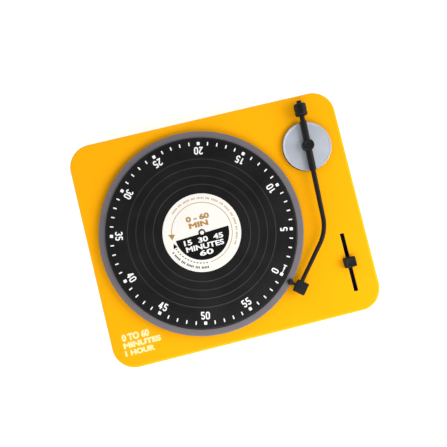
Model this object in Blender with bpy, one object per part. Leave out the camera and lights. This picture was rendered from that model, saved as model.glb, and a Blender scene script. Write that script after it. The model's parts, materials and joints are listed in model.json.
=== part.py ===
"""A wind-up kitchen timer in the form of a small record player, as separate solid pieces.

Lengths are in metres and +Z is up. The origin is the middle of the case's outline, on the
surface that the rubber feet stand on. The dial turns about a line parallel to Z, and the
clockwork hangs under the case's top round that line. Every object is one real piece, and the
pieces that move hang on an empty that stands on their joint's axis.
"""

import math

import bmesh
import bpy

MM = 0.001

# Room between pieces
RUNNING = 0.05 * MM  # round a shaft in its hole
SNUG = 0.1 * MM  # round a piece that sits in a pocket
REST = 0.3 * MM  # between two faces that meet

# Case
CASE_LENGTH = 120 * MM
CASE_WIDTH = 99.2 * MM
CASE_CORNER = 10 * MM
CASE_EDGE = 1.2 * MM
WALL = 2 * MM
SKIRT_BOTTOM = 1 * MM
COVER_THICKNESS = 2 * MM
FOOT_RADIUS = 4 * MM
FOOT_HEIGHT = 1.6 * MM
FOOT_INSET = 14 * MM
CASE_SCREW_RADIUS = 1 * MM
CASE_SCREW_HEAD = 1.9 * MM
CASE_SCREW_GRIP = 6 * MM
CASE_SCREW_INSET_X = 5.8 * MM
CASE_SCREW_INSET_Y = 13.6 * MM
SCREW_SLOT = (1.4, 0.25, 0.33)  # length, width and depth as shares of the head's radius
BOSS_WALL = 1.4 * MM
MOVEMENT_DROP = 1.5 * MM
SOUND_SLOTS = 7
SOUND_SLOT_WIDTH = 1.5 * MM
SOUND_SLOT_LENGTH = 24 * MM
SOUND_SLOT_PITCH = 5 * MM

# Dial
PLATTER_RADIUS = 44.3 * MM
PLATTER_RIM = 2.9 * MM
PLATTER_FLOOR = 1.6 * MM
PLATTER_HEIGHT = 2.4 * MM
PLATTER_LIFT = 0.6 * MM
PLATTER_EDGE = 0.5 * MM
DIAL_MARGIN = 5.1 * MM
DIAL_Y = 0.15 * MM
HUB_RADIUS = 4.8 * MM
HUB_LENGTH = 3.3 * MM
HUB_ROOM = 0.4 * MM
RECORD_THICKNESS = 1.7 * MM
RECORD_EDGE = 0.4 * MM
LABEL_RADIUS = 16.9 * MM
LABEL_THICKNESS = 0.3 * MM
SPINDLE_RADIUS = 0.9 * MM
SPINDLE_RING = 0.4 * MM
SPINDLE_RISE = 0.4 * MM
SPINDLE_EDGE = 0.3 * MM

# Clockwork, heights of its plates and the places of its pieces from the dial's axis
ARBOR_RADIUS = 1.5 * MM
BELL_ROOM = 0.4 * MM
BELL_HEIGHT = 3.8 * MM
BELL_RADIUS = 24 * MM
BELL_THICKNESS = 0.8 * MM
BELL_CORNER = 3 * MM
BELL_DROP = 1.3 * MM
PLATE_THICKNESS = 1 * MM
PLATE_LENGTH = 46 * MM
PLATE_WIDTH = 53 * MM
PLATE_CORNER = 4 * MM
PLATE_CENTRE = (4 * MM, 7.5 * MM)
BELL_CENTRE = (4 * MM, 6 * MM)
PILLAR_INSET = 3.5 * MM
PILLAR_RADIUS = 1.7 * MM
PILLAR_END = 0.9 * MM
PILLAR_RIVET = 0.4 * MM
MOVEMENT_SCREWS = ((-17 * MM, 8 * MM), (6 * MM, -17 * MM), (24 * MM, 22 * MM))
MOVEMENT_SCREW_RADIUS = 0.9 * MM
MOVEMENT_SCREW_HEAD = 1.8 * MM
MOVEMENT_SCREW_HEIGHT = 1.2 * MM
BELL_SCREW_RADIUS = 1.2 * MM
BELL_SCREW_HEAD = 2.4 * MM
BELL_SCREW_HEIGHT = 1.2 * MM
SPRING_INNER = 2.6 * MM
SPRING_OUTER = 12.4 * MM
SPRING_STRIP = 0.5 * MM
SPRING_WIDTH = 5.1 * MM
SPRING_TURNS = 4
STOP_RADIUS = 13.9 * MM
STOP_PIN_RADIUS = 0.7 * MM
STOP_PIN_ANGLE = math.radians(120)
STOP_ROOM = 0.4 * MM
STOP_ARM_WIDTH = 1.4 * MM
STOP_ARM_THICKNESS = 0.6 * MM
STOP_ARM_HUB = 3.2 * MM
CAM_RADIUS = 5.5 * MM
CAM_NOTCH = 1.6 * MM
CAM_THICKNESS = 0.8 * MM
GEAR_HUB = 4 * MM
GEAR_HUB_HEIGHT = 0.65 * MM
DRIVE_THICKNESS = 1.4 * MM
CLUTCH_RADIUS = 4.2 * MM
CLUTCH_THICKNESS = 0.5 * MM
CLUTCH_ROOM = 0.45 * MM
CLIP_RADIUS = 3 * MM
CLIP_THICKNESS = 0.5 * MM

# Gear train: each wheel drives the next gear's pinion
WHEEL_TEETH = (48, 40, 40)
PINION_TEETH = 8
MODULES = (0.625 * MM, 0.5 * MM, 0.4375 * MM)
GEAR_ANGLES = (math.radians(0), math.radians(75), math.radians(120))
WHEEL_THICKNESS = 0.8 * MM
PINION_OVERLAP = 0.3 * MM
THIRD_WHEEL_DROP = 4.2 * MM
ESCAPE_WHEEL_RISE = 2.2 * MM
PIN_RADIUS = 0.6 * MM
SLEEVE_WALL = 0.55 * MM
ESCAPE_TEETH = 15
ESCAPE_RADIUS = 6 * MM
ESCAPE_DEPTH = 1.6 * MM
BALANCE_DISTANCE = 3.5 * MM
BALANCE_ANGLE = math.radians(150)
BALANCE_REACH = 7 * MM
BALANCE_WEIGHT = 1.5 * MM
BALANCE_HUB = 2.2 * MM
BALANCE_PRONG = 2.6 * MM
BALANCE_RISE = 4.7 * MM
HAMMER_PIVOT = (-16.5 * MM, -4 * MM)
HAMMER_PIN_RADIUS = 0.8 * MM
HAMMER_HUB = 1.9 * MM
HAMMER_HEAD = 1.6 * MM
HAMMER_HEAD_HEIGHT = 2.6 * MM
HAMMER_ROD = 0.9 * MM
HAMMER_WIDTH = 1.3 * MM
HAMMER_ROOM = 0.5 * MM
HAMMER_WIRE = 0.25 * MM
HAMMER_COILS = 4

# Arm, heights over the case's top and distances from the middle of its base
ARM_INSET_X = 16.65 * MM
ARM_INSET_Y = 23.4 * MM
ARM_BASE_RADIUS = 10.8 * MM
ARM_BASE_HEIGHT = 2 * MM
ARM_EDGE = 0.3 * MM
ARM_POCKET = 0.5 * MM
ARM_HEIGHT = 3.9 * MM
ARM_TILT = math.radians(2.4)
ARM_STEM = 1.5 * MM
ARM_HUB = 2.55 * MM
ARM_HUB_RISE = 0.35 * MM
ARM_NUT = 3 * MM
ARM_NUT_HEIGHT = 1.8 * MM
REAR_TUBE_RADIUS = 1.5 * MM
REAR_TUBE_REACH = 10.9 * MM
SOCKET_DEPTH = 2 * MM
ARM_TUBE_RADIUS = 1.1 * MM
ARM_TUBE_END = 0.87 * MM
ARM_REACH = 38.1 * MM
ARM_BEND = 18 * MM
WEIGHT_RADIUS = 2.7 * MM
WEIGHT_START = 13.35 * MM
WEIGHT_LENGTH = 5.3 * MM
WEIGHT_NUB = 1.35 * MM
WEIGHT_EDGE = 0.4 * MM
HEAD_CLEARANCE = 4.4 * MM
HEAD_ANGLE = math.radians(-42.7)
HEAD_OFFSET = 0.8 * MM
HEAD_LENGTH = 5.5 * MM
HEAD_WIDTH = 5.2 * MM
HEAD_BOTTOM = 2.3 * MM
HEAD_HEIGHT = 2.6 * MM
HEAD_ROUND = 0.5 * MM
POINTER_ANGLE = math.radians(-42.9)
POINTER_CLEARANCE = 1.25 * MM
POINTER_WIDTH = 1.3 * MM
POINTER_PAD = 1.3 * MM
POINTER_BOTTOM = 3.5 * MM
POINTER_THICKNESS = 0.9 * MM

# Slider
SLOT_WIDTH = 1.8 * MM
SLOT_LENGTH = 25.9 * MM
SLOT_INSET_X = 10.95 * MM
SLOT_INSET_Y = 9.05 * MM
KNOB_LENGTH = 5.2 * MM
KNOB_WIDTH = 4.5 * MM
KNOB_HEIGHT = 2.7 * MM
KNOB_ROUND = 0.4 * MM
STEM_WIDTH = 1.2 * MM
STEM_LENGTH = 3 * MM
STEM_DEPTH = 4 * MM
SLIDER_CLIP_WIDTH = 2.6 * MM
SLIDER_CLIP_LENGTH = 5.4 * MM
SLIDER_CLIP_HEIGHT = 0.8 * MM
TRACK_WALL = 0.7 * MM
TRACK_FLOOR = 0.8 * MM
TRACK_DEPTH = 3.1 * MM
TRACK_ROOM = 1.3 * MM

# Places and heights that follow from the sizes above
COVER_TOP = SKIRT_BOTTOM + COVER_THICKNESS
AXIS = (-CASE_LENGTH / 2 + DIAL_MARGIN + PLATTER_RADIUS, DIAL_Y)
BELL_BOTTOM = COVER_TOP + BELL_ROOM
BACK_PLATE_BOTTOM = BELL_BOTTOM + BELL_HEIGHT + BELL_DROP
BACK_PLATE_TOP = BACK_PLATE_BOTTOM + PLATE_THICKNESS
SPRING_BOTTOM = BACK_PLATE_TOP + REST
STOP_ARM_BOTTOM = SPRING_BOTTOM + SPRING_WIDTH + REST
CAM_BOTTOM = STOP_ARM_BOTTOM + STOP_ARM_THICKNESS + REST
GEAR_HUB_BOTTOM = CAM_BOTTOM + CAM_THICKNESS + REST
DRIVE_BOTTOM = GEAR_HUB_BOTTOM + GEAR_HUB_HEIGHT
CLUTCH_BOTTOM = DRIVE_BOTTOM + DRIVE_THICKNESS + CLUTCH_ROOM
FRONT_PLATE_BOTTOM = CLUTCH_BOTTOM + CLUTCH_THICKNESS + REST
FRONT_PLATE_TOP = FRONT_PLATE_BOTTOM + PLATE_THICKNESS
CEILING = FRONT_PLATE_TOP + MOVEMENT_DROP
CASE_TOP = CEILING + WALL
PLATTER_BOTTOM = CASE_TOP + PLATTER_LIFT
PLATTER_TOP = PLATTER_BOTTOM + PLATTER_HEIGHT
RECORD_BOTTOM = PLATTER_BOTTOM + PLATTER_FLOOR + REST
RECORD_TOP = RECORD_BOTTOM + RECORD_THICKNESS
RECORD_RADIUS = PLATTER_RADIUS - PLATTER_RIM - REST
RECORD_HOLE = SPINDLE_RADIUS + SPINDLE_RING
ARM_CENTRE = (CASE_LENGTH / 2 - ARM_INSET_X, CASE_WIDTH / 2 - ARM_INSET_Y)
ARM_AXIS = CASE_TOP + ARM_HEIGHT
SLOT_CENTRE = (
    CASE_LENGTH / 2 - SLOT_INSET_X,
    -CASE_WIDTH / 2 + SLOT_INSET_Y + SLOT_LENGTH / 2,
)

ROUND = 56
SMALL_ROUND = 20

LOOKS = {
    "yellow_gloss": ((1.0, 0.47, 0.0), 0.22, 0.0),
    "grey_satin": ((0.25, 0.25, 0.29), 0.38, 0.6),
    "black_gloss": ((0.012, 0.012, 0.013), 0.3, 0.0),
    "black_matte": ((0.015, 0.014, 0.014), 0.6, 0.0),
    "white_print": ((0.85, 0.85, 0.84), 0.5, 0.0),
    "silver_satin": ((0.55, 0.57, 0.62), 0.35, 0.7),
    "steel": ((0.55, 0.55, 0.56), 0.3, 1.0),
    "brass": ((0.72, 0.5, 0.2), 0.3, 1.0),
    "white_plastic": ((0.75, 0.74, 0.7), 0.45, 0.0),
    "rubber": ((0.02, 0.02, 0.02), 0.85, 0.0),
}


def polar(radius, angle, centre=(0.0, 0.0)):
    """The point at this distance and angle from centre."""
    return (centre[0] + radius * math.cos(angle), centre[1] + radius * math.sin(angle))


def circle(radius, steps=SMALL_ROUND, centre=(0.0, 0.0)):
    """Points of a circle, counter-clockwise."""
    return [polar(radius, math.tau * i / steps, centre) for i in range(steps)]


def rounded_rectangle(length, width, corner, steps=8, centre=(0.0, 0.0)):
    """Outline of a rectangle whose corners are arcs of `steps` pieces, counter-clockwise."""
    points = []
    for quarter, (side_x, side_y) in enumerate(((1, 1), (-1, 1), (-1, -1), (1, -1))):
        middle = (
            centre[0] + side_x * (length / 2 - corner),
            centre[1] + side_y * (width / 2 - corner),
        )
        for i in range(steps + 1):
            points.append(polar(corner, (quarter + i / steps) * math.pi / 2, middle))
    return points


def rectangle(length, width, centre=(0.0, 0.0), angle=0.0):
    """Outline of a rectangle turned by angle about its centre."""
    points = []
    for side_x, side_y in ((1, 1), (-1, 1), (-1, -1), (1, -1)):
        along = polar(side_x * length / 2, angle, centre)
        points.append(polar(side_y * width / 2, angle + math.pi / 2, along))
    return points


def bar(start, end, width, steps=6):
    """Outline of a flat bar with half-round ends from start to end."""
    angle = math.atan2(end[1] - start[1], end[0] - start[0])
    turn = [math.pi * i / steps for i in range(steps + 1)]
    far = [polar(width / 2, angle - math.pi / 2 + t, end) for t in turn]
    near = [polar(width / 2, angle + math.pi / 2 + t, start) for t in turn]
    return far + near


def paddle(start, centre, width, radius, steps=14):
    """Outline of a flat bar that begins at start and ends in a round pad about centre."""
    angle = math.atan2(centre[1] - start[1], centre[0] - start[0])
    reach = math.pi - math.asin(width / 2 / radius)
    pad = [polar(radius, angle - reach + 2 * reach * i / steps, centre) for i in range(steps + 1)]
    return pad + [polar(width / 2, angle + side * math.pi / 2, start) for side in (1, -1)]


def gear_outline(teeth, module, phase, shares=(0.56, 0.16)):
    """Outline of a spur gear with a tooth at angle phase.

    shares are the tooth's width at its root and tip circles as parts of the pitch. They leave
    more than the usual backlash, as moulded clock gears have.
    """
    pitch_radius = module * teeth / 2
    radii = (pitch_radius - 1.2 * module, pitch_radius + 0.9 * module)
    step = math.tau / teeth
    points = []
    for i in range(teeth):
        middle = phase + i * step
        rising = [polar(r, middle - s * step / 2) for r, s in zip(radii, shares)]
        falling = [polar(r, middle + s * step / 2) for r, s in zip(radii, shares)]
        points += rising + falling[::-1]
    return points


def pinion_outline(module, phase):
    """Outline of a pinion, whose leaves are thin wedges with a short top."""
    return gear_outline(PINION_TEETH, module, phase, shares=(0.38, 0.14))


def add_prism(shape, outlines, bottom, top):
    """Adds an upright body. outlines[0] is its outside and the others are holes through it."""
    edges = []
    for outline in outlines:
        ring = [shape.verts.new((x, y, bottom)) for x, y in outline]
        edges += [shape.edges.new(pair) for pair in zip(ring, ring[1:] + ring[:1])]
    if len(outlines) == 1:
        faces = [shape.faces.new(ring)]
    else:
        filled = bmesh.ops.triangle_fill(shape, use_beauty=True, edges=edges)
        faces = [item for item in filled["geom"] if isinstance(item, bmesh.types.BMFace)]
    raised = bmesh.ops.extrude_face_region(shape, geom=faces)["geom"]
    tops = [item for item in raised if isinstance(item, bmesh.types.BMVert)]
    bmesh.ops.translate(shape, verts=tops, vec=(0, 0, top - bottom))


def round_rim(shape, height, radius, steps=3):
    """Rounds the edges of a body that lie at this height."""
    rim = [
        edge
        for edge in shape.edges
        if all(abs(vert.co.z - height) < 1e-6 for vert in edge.verts)
    ]
    bmesh.ops.bevel(
        shape, geom=rim, offset=radius, segments=steps, profile=0.5, affect="EDGES"
    )


def add_turned(shape, profile, steps=SMALL_ROUND, centre=(0.0, 0.0)):
    """Adds a turned body about the upright line through centre, from (radius, height) points.

    The profile starts and ends on the line, or is closed into a ring if it stays off it.
    """
    points = [shape.verts.new((centre[0] + r, centre[1], z)) for r, z in profile]
    pairs = list(zip(points, points[1:]))
    if profile[0][0] > 0:
        pairs.append((points[-1], points[0]))
    edges = [shape.edges.new(pair) for pair in pairs]
    bmesh.ops.spin(
        shape,
        geom=points + edges,
        cent=(centre[0], centre[1], 0),
        axis=(0, 0, 1),
        angle=math.tau,
        steps=steps,
        use_merge=True,
    )
    bmesh.ops.remove_doubles(shape, verts=shape.verts, dist=1e-6)


def ring_profile(inner, outer, bottom, top):
    """Profile of a plain ring or washer."""
    return [(outer, top), (outer, bottom), (inner, bottom), (inner, top)]


def rod_profile(radius, bottom, top):
    """Profile of a plain rod."""
    return [(0, top), (radius, top), (radius, bottom), (0, bottom)]


def rounded_edge(radius, top, edge, steps=3):
    """Profile points of a rounded outer edge that ends a face at height top."""
    centre = (radius - edge, top - edge)
    return [polar(edge, math.pi / 2 * (1 - i / steps), centre) for i in range(steps + 1)]


def prism(outlines, bottom, top):
    """A new upright body, as add_prism makes it."""
    shape = bmesh.new()
    add_prism(shape, outlines, bottom, top)
    return shape


def turned(profile, steps=SMALL_ROUND, centre=(0.0, 0.0)):
    """A new turned body, as add_turned makes it."""
    shape = bmesh.new()
    add_turned(shape, profile, steps, centre)
    return shape


def new_object(name, data, place, parent):
    """Puts an object in the scene over this place, with its own z = 0 at the feet's surface."""
    obj = bpy.data.objects.new(name, data)
    bpy.context.scene.collection.objects.link(obj)
    obj.parent = parent
    obj.location = (place[0], place[1], 0)
    return obj


def dress(obj, look):
    """Gives the object a material of its own."""
    colour, roughness, metallic = LOOKS[look]
    material = bpy.data.materials.new(obj.name)
    material.use_nodes = True
    shader = material.node_tree.nodes["Principled BSDF"]
    shader.inputs["Base Color"].default_value = (*colour, 1)
    shader.inputs["Roughness"].default_value = roughness
    shader.inputs["Metallic"].default_value = metallic
    obj.data.materials.append(material)


def mesh_object(name, shape, place=(0.0, 0.0), parent=None):
    """Makes an object of a bmesh shape, whose faces point outwards, and frees the shape."""
    bmesh.ops.recalc_face_normals(shape, faces=shape.faces)
    mesh = bpy.data.meshes.new(name)
    shape.to_mesh(mesh)
    shape.free()
    mesh.shade_smooth()
    mesh.set_sharp_from_angle(angle=math.radians(35))
    return new_object(name, mesh, place, parent)


def piece(name, shape, look, place=(0.0, 0.0), parent=None):
    """One real piece of the timer, shaped about the upright line at place."""
    obj = mesh_object(name, shape, place, parent)
    dress(obj, look)
    return obj


def apply_helper(obj, helper, operation):
    """Hides the helper body, and joins it to the object or cuts it out of it."""
    helper.hide_render = True
    helper.display_type = "WIRE"
    change = obj.modifiers.new(helper.name, "BOOLEAN")
    change.operation = operation
    change.solver = "EXACT"
    change.object = helper


def combine(obj, shape, operation):
    """Joins a shape to the upright object, or cuts it out, in the object's own frame."""
    name = f"{obj.name}_{operation.lower()}_{len(obj.modifiers)}"
    helper = mesh_object(name, shape, (obj.location.x, obj.location.y), obj.parent)
    apply_helper(obj, helper, operation)


def axis_empty(name, place, parent=None):
    """An empty that stands on a joint's axis."""
    return new_object(name, None, place, parent)


def offset(place, centre=AXIS):
    """A place of the clockwork, from the dial's axis to the case's own frame."""
    return (centre[0] + place[0], centre[1] + place[1])


def corners(inset_x, inset_y):
    """The four places at these distances inside the case's sides."""
    x = CASE_LENGTH / 2 - inset_x
    y = CASE_WIDTH / 2 - inset_y
    return [(x, y), (-x, y), (-x, -y), (x, -y)]


def case_screw_places():
    """The four screws that hold the bottom cover, near the case's short sides."""
    return corners(CASE_SCREW_INSET_X, CASE_SCREW_INSET_Y)


def gear_places():
    """Places of the three driven gears from the dial's axis, each in mesh with the one before."""
    places = [(0.0, 0.0)]
    for teeth, module, angle in zip(WHEEL_TEETH, MODULES, GEAR_ANGLES):
        distance = module * (teeth + PINION_TEETH) / 2
        places.append(polar(distance, angle, places[-1]))
    return places[1:]


def balance_place():
    """The balance lever's pin, beside the escape wheel."""
    return polar(ESCAPE_RADIUS + BALANCE_DISTANCE, BALANCE_ANGLE, gear_places()[-1])


def pillar_places():
    """The four pillars, near the clockwork plates' corners."""
    x = PLATE_LENGTH / 2 - PILLAR_INSET
    y = PLATE_WIDTH / 2 - PILLAR_INSET
    signs = ((1, 1), (-1, 1), (-1, -1), (1, -1))
    return [offset((a * x, b * y), PLATE_CENTRE) for a, b in signs]


def hammer_place():
    """Where the hammer's head hangs, just outside the bell's rim."""
    distance = BELL_RADIUS + HAMMER_ROOM + HAMMER_HEAD
    return (BELL_CENTRE[0] - distance, BELL_CENTRE[1])


def head_place():
    """The head's centre, just outside the platter."""
    return polar(PLATTER_RADIUS + HEAD_CLEARANCE, HEAD_ANGLE, AXIS)


def pointer_place():
    """The centre of the pointer's pad, which ends just outside the record's edge."""
    return polar(RECORD_RADIUS + POINTER_CLEARANCE + POINTER_PAD, POINTER_ANGLE, AXIS)


def arm_place(distance):
    """The point of the arm's straight line at this distance behind its base's centre."""
    return polar(distance, math.pi / 2 - ARM_TILT, ARM_CENTRE)


def arm_lead():
    """The arm's direction into the head, and the point where the tube's line meets the head."""
    bend = arm_place(-ARM_REACH)
    head = head_place()
    straight = math.dist(bend, head)
    angle = math.atan2(head[1] - bend[1], head[0] - bend[0])
    angle -= math.asin(HEAD_OFFSET / straight)
    return angle, polar(HEAD_OFFSET, angle - math.pi / 2, head)


def make_case():
    """The housing with its bosses, pockets and holes, its bottom cover, screws and feet."""
    outline = rounded_rectangle(CASE_LENGTH, CASE_WIDTH, CASE_CORNER, 7)
    body = prism([outline], SKIRT_BOTTOM, CASE_TOP)
    round_rim(body, CASE_TOP, CASE_EDGE)
    housing = piece("top_housing", body, "yellow_gloss")
    inside = rounded_rectangle(
        CASE_LENGTH - 2 * WALL, CASE_WIDTH - 2 * WALL, CASE_CORNER - WALL, 5
    )
    combine(housing, prism([inside], SKIRT_BOTTOM - WALL, CEILING), "DIFFERENCE")

    bosses = bmesh.new()
    into_ceiling = CEILING + WALL / 4
    for place in case_screw_places():
        radius = CASE_SCREW_RADIUS + BOSS_WALL
        add_prism(bosses, [circle(radius, 16, place)], COVER_TOP + REST, into_ceiling)
    for place in MOVEMENT_SCREWS:
        radius = MOVEMENT_SCREW_RADIUS + BOSS_WALL
        add_prism(
            bosses,
            [circle(radius, 16, offset(place))],
            FRONT_PLATE_TOP + REST,
            into_ceiling,
        )
    combine(housing, bosses, "UNION")

    holes = bmesh.new()
    above = CASE_TOP + WALL
    below = CEILING - WALL
    add_prism(holes, [circle(HUB_RADIUS + HUB_ROOM, 40, AXIS)], below, above)
    add_prism(holes, [rectangle(SLOT_WIDTH, SLOT_LENGTH, SLOT_CENTRE)], below, above)
    pocket = CASE_TOP - ARM_POCKET
    profile = [(0, above), (ARM_BASE_RADIUS + SNUG, above), (ARM_BASE_RADIUS + SNUG, pocket)]
    profile += [(ARM_STEM + SNUG, pocket), (ARM_STEM + SNUG, below), (0, below)]
    add_turned(holes, profile, 40, ARM_CENTRE)
    for place in case_screw_places():
        radius = CASE_SCREW_RADIUS + RUNNING
        bottom = COVER_TOP - REST
        add_prism(holes, [circle(radius, 12, place)], bottom, COVER_TOP + CASE_SCREW_GRIP + WALL)
    for place in MOVEMENT_SCREWS:
        radius = MOVEMENT_SCREW_RADIUS + RUNNING
        add_prism(
            holes,
            [circle(radius, 12, offset(place))],
            FRONT_PLATE_TOP - REST,
            CEILING + WALL / 3,
        )
    combine(housing, holes, "DIFFERENCE")
    make_cover()
    for number, place in enumerate(case_screw_places(), 1):
        make_case_screw(f"case_screw_{number}", place)
    for number, place in enumerate(corners(FOOT_INSET, FOOT_INSET), 1):
        profile = [(0, FOOT_HEIGHT), (FOOT_RADIUS, FOOT_HEIGHT)]
        profile += [(FOOT_RADIUS, FOOT_HEIGHT / 4), (FOOT_RADIUS - FOOT_HEIGHT / 4, 0), (0, 0)]
        piece(f"foot_{number}", turned(profile, 20), "rubber", place)


def make_cover():
    """The bottom cover: a plate inside the skirt with foot pockets and slots under the bell."""
    length = CASE_LENGTH - 2 * (WALL + REST)
    width = CASE_WIDTH - 2 * (WALL + REST)
    outline = rounded_rectangle(length, width, CASE_CORNER - WALL - REST, 5)
    cover = piece("bottom_cover", prism([outline], SKIRT_BOTTOM, COVER_TOP), "black_matte")
    cuts = bmesh.new()
    below = SKIRT_BOTTOM - WALL
    pocket_top = FOOT_HEIGHT + REST
    for place in corners(FOOT_INSET, FOOT_INSET):
        add_prism(cuts, [circle(FOOT_RADIUS + REST, 20, place)], below, pocket_top)
    for place in case_screw_places():
        add_turned(cuts, screw_profile(SNUG, below, COVER_TOP + WALL), 16, place)
    for number in range(SOUND_SLOTS):
        side = (number - (SOUND_SLOTS - 1) / 2) * SOUND_SLOT_PITCH
        x, y = offset((BELL_CENTRE[0] + side, BELL_CENTRE[1]))
        half = (SOUND_SLOT_LENGTH - SOUND_SLOT_WIDTH) / 2
        slot = bar((x, y - half), (x, y + half), SOUND_SLOT_WIDTH, 3)
        add_prism(cuts, [slot], below, COVER_TOP + WALL)
    combine(cover, cuts, "DIFFERENCE")


def screw_profile(room, bottom, top):
    """Profile of a countersunk screw, head down, or with room of the hole that takes it."""
    sunk = SKIRT_BOTTOM + REST
    head = CASE_SCREW_HEAD + room
    shank = CASE_SCREW_RADIUS + room
    cone_top = sunk + head - shank
    return [(0, top), (shank, top), (shank, cone_top), (head, sunk), (head, bottom), (0, bottom)]


def make_case_screw(name, place):
    """A countersunk screw with a straight slot in its head."""
    bottom = SKIRT_BOTTOM + REST / 2
    shape = turned(screw_profile(0, bottom, COVER_TOP + CASE_SCREW_GRIP), 16)
    screw = piece(name, shape, "steel", place)
    length, width, depth = (share * CASE_SCREW_HEAD for share in SCREW_SLOT)
    slot = rectangle(length, width)
    combine(screw, prism([slot], bottom - WALL, bottom + depth), "DIFFERENCE")


def make_dial():
    """What turns with the dial: platter, record, label, spindle pin, arbor and what it carries."""
    turn = axis_empty("dial_axis", AXIS)
    bore = ARBOR_RADIUS + RUNNING
    floor = PLATTER_BOTTOM + PLATTER_FLOOR
    hub_bottom = PLATTER_BOTTOM - HUB_LENGTH
    bore_top = PLATTER_BOTTOM + PLATTER_FLOOR / 2
    rim = PLATTER_RADIUS - PLATTER_RIM
    profile = [(0, floor), (rim, floor), (rim, PLATTER_TOP)]
    profile += rounded_edge(PLATTER_RADIUS, PLATTER_TOP, PLATTER_EDGE, 2)
    profile += [(PLATTER_RADIUS, PLATTER_BOTTOM), (HUB_RADIUS, PLATTER_BOTTOM)]
    profile += [(HUB_RADIUS, hub_bottom), (bore, hub_bottom)]
    profile += [(bore, bore_top), (0, bore_top)]
    piece("platter", turned(profile, ROUND), "grey_satin", parent=turn)

    pocket = RECORD_TOP - LABEL_THICKNESS - SNUG
    label_edge = LABEL_RADIUS + SNUG
    profile = [(RECORD_HOLE, pocket), (label_edge, pocket), (label_edge, RECORD_TOP)]
    profile += rounded_edge(RECORD_RADIUS, RECORD_TOP, RECORD_EDGE, 2)
    profile += [(RECORD_RADIUS, RECORD_BOTTOM), (RECORD_HOLE, RECORD_BOTTOM)]
    piece("record_disc", turned(profile, ROUND), "black_gloss", parent=turn)

    ring = ring_profile(RECORD_HOLE, LABEL_RADIUS, RECORD_TOP - LABEL_THICKNESS, RECORD_TOP)
    piece("centre_label", turned(ring, 48), "white_print", parent=turn)

    pin_top = RECORD_TOP + SPINDLE_RISE
    profile = [(0, pin_top)] + rounded_edge(SPINDLE_RADIUS, pin_top, SPINDLE_EDGE, 2)
    profile += [(SPINDLE_RADIUS, floor + SNUG), (0, floor + SNUG)]
    piece("spindle_pin", turned(profile, 16), "white_plastic", parent=turn)

    arbor_bottom = BACK_PLATE_BOTTOM - REST - CLIP_THICKNESS - REST / 2
    arbor = rod_profile(ARBOR_RADIUS, arbor_bottom, bore_top - REST)
    piece("main_arbor", turned(arbor, 24), "steel", parent=turn)

    outline = gear_outline(WHEEL_TEETH[0], MODULES[0], GEAR_ANGLES[0])
    drive = piece(
        "drive_gear",
        prism([outline], DRIVE_BOTTOM, DRIVE_BOTTOM + DRIVE_THICKNESS),
        "brass",
        parent=turn,
    )
    hub = prism([circle(GEAR_HUB, 24)], GEAR_HUB_BOTTOM, DRIVE_BOTTOM + DRIVE_THICKNESS / 2)
    combine(drive, hub, "UNION")
    through = prism([circle(bore, 24)], GEAR_HUB_BOTTOM - WALL, DRIVE_BOTTOM + WALL)
    combine(drive, through, "DIFFERENCE")

    clutch_top = CLUTCH_BOTTOM + CLUTCH_THICKNESS
    ring = ring_profile(bore, CLUTCH_RADIUS, CLUTCH_BOTTOM, clutch_top)
    piece("clutch_washer", turned(ring, 24), "steel", parent=turn)

    make_stop_arm(turn, bore)
    make_strike_cam(turn, bore)

    clip_top = BACK_PLATE_BOTTOM - REST
    gap = math.radians(50)
    steps = 18
    span = [gap / 2 + (math.tau - gap) * i / steps for i in range(steps + 1)]
    outline = [polar(CLIP_RADIUS, a) for a in span] + [polar(bore, a) for a in span[::-1]]
    piece("arbor_clip", prism([outline], clip_top - CLIP_THICKNESS, clip_top), "steel", parent=turn)


def make_stop_arm(turn, bore):
    """A hub with a finger, which meets the stop pin at both ends of the dial's turn."""
    free = (STOP_ARM_WIDTH / 2 + STOP_PIN_RADIUS + STOP_ROOM) / STOP_RADIUS
    angle = STOP_PIN_ANGLE - free
    tip = polar(STOP_RADIUS, angle)
    half = math.asin(STOP_ARM_WIDTH / 2 / STOP_ARM_HUB)
    steps = 20
    span = [angle + half + (math.tau - 2 * half) * i / steps for i in range(steps + 1)]
    outline = [polar(STOP_ARM_HUB, a) for a in span]
    for side in (-1, 1):
        outline.append(polar(side * STOP_ARM_WIDTH / 2, angle + math.pi / 2, tip))
    top = STOP_ARM_BOTTOM + STOP_ARM_THICKNESS
    shape = prism([outline, circle(bore, 24)], STOP_ARM_BOTTOM, top)
    piece("stop_arm", shape, "steel", parent=turn)


def make_strike_cam(turn, bore):
    """A round cam with one notch that lets the hammer fall near zero."""
    steps = 28
    notch = math.radians(26)
    start = math.pi + notch / 2
    outline = [
        polar(CAM_RADIUS, start + (math.tau - notch) * i / steps) for i in range(steps + 1)
    ]
    outline.append(polar(CAM_RADIUS - CAM_NOTCH, math.pi - notch / 2))
    shape = prism([outline, circle(bore, 24)], CAM_BOTTOM, CAM_BOTTOM + CAM_THICKNESS)
    piece("strike_cam", shape, "brass", parent=turn)


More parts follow.
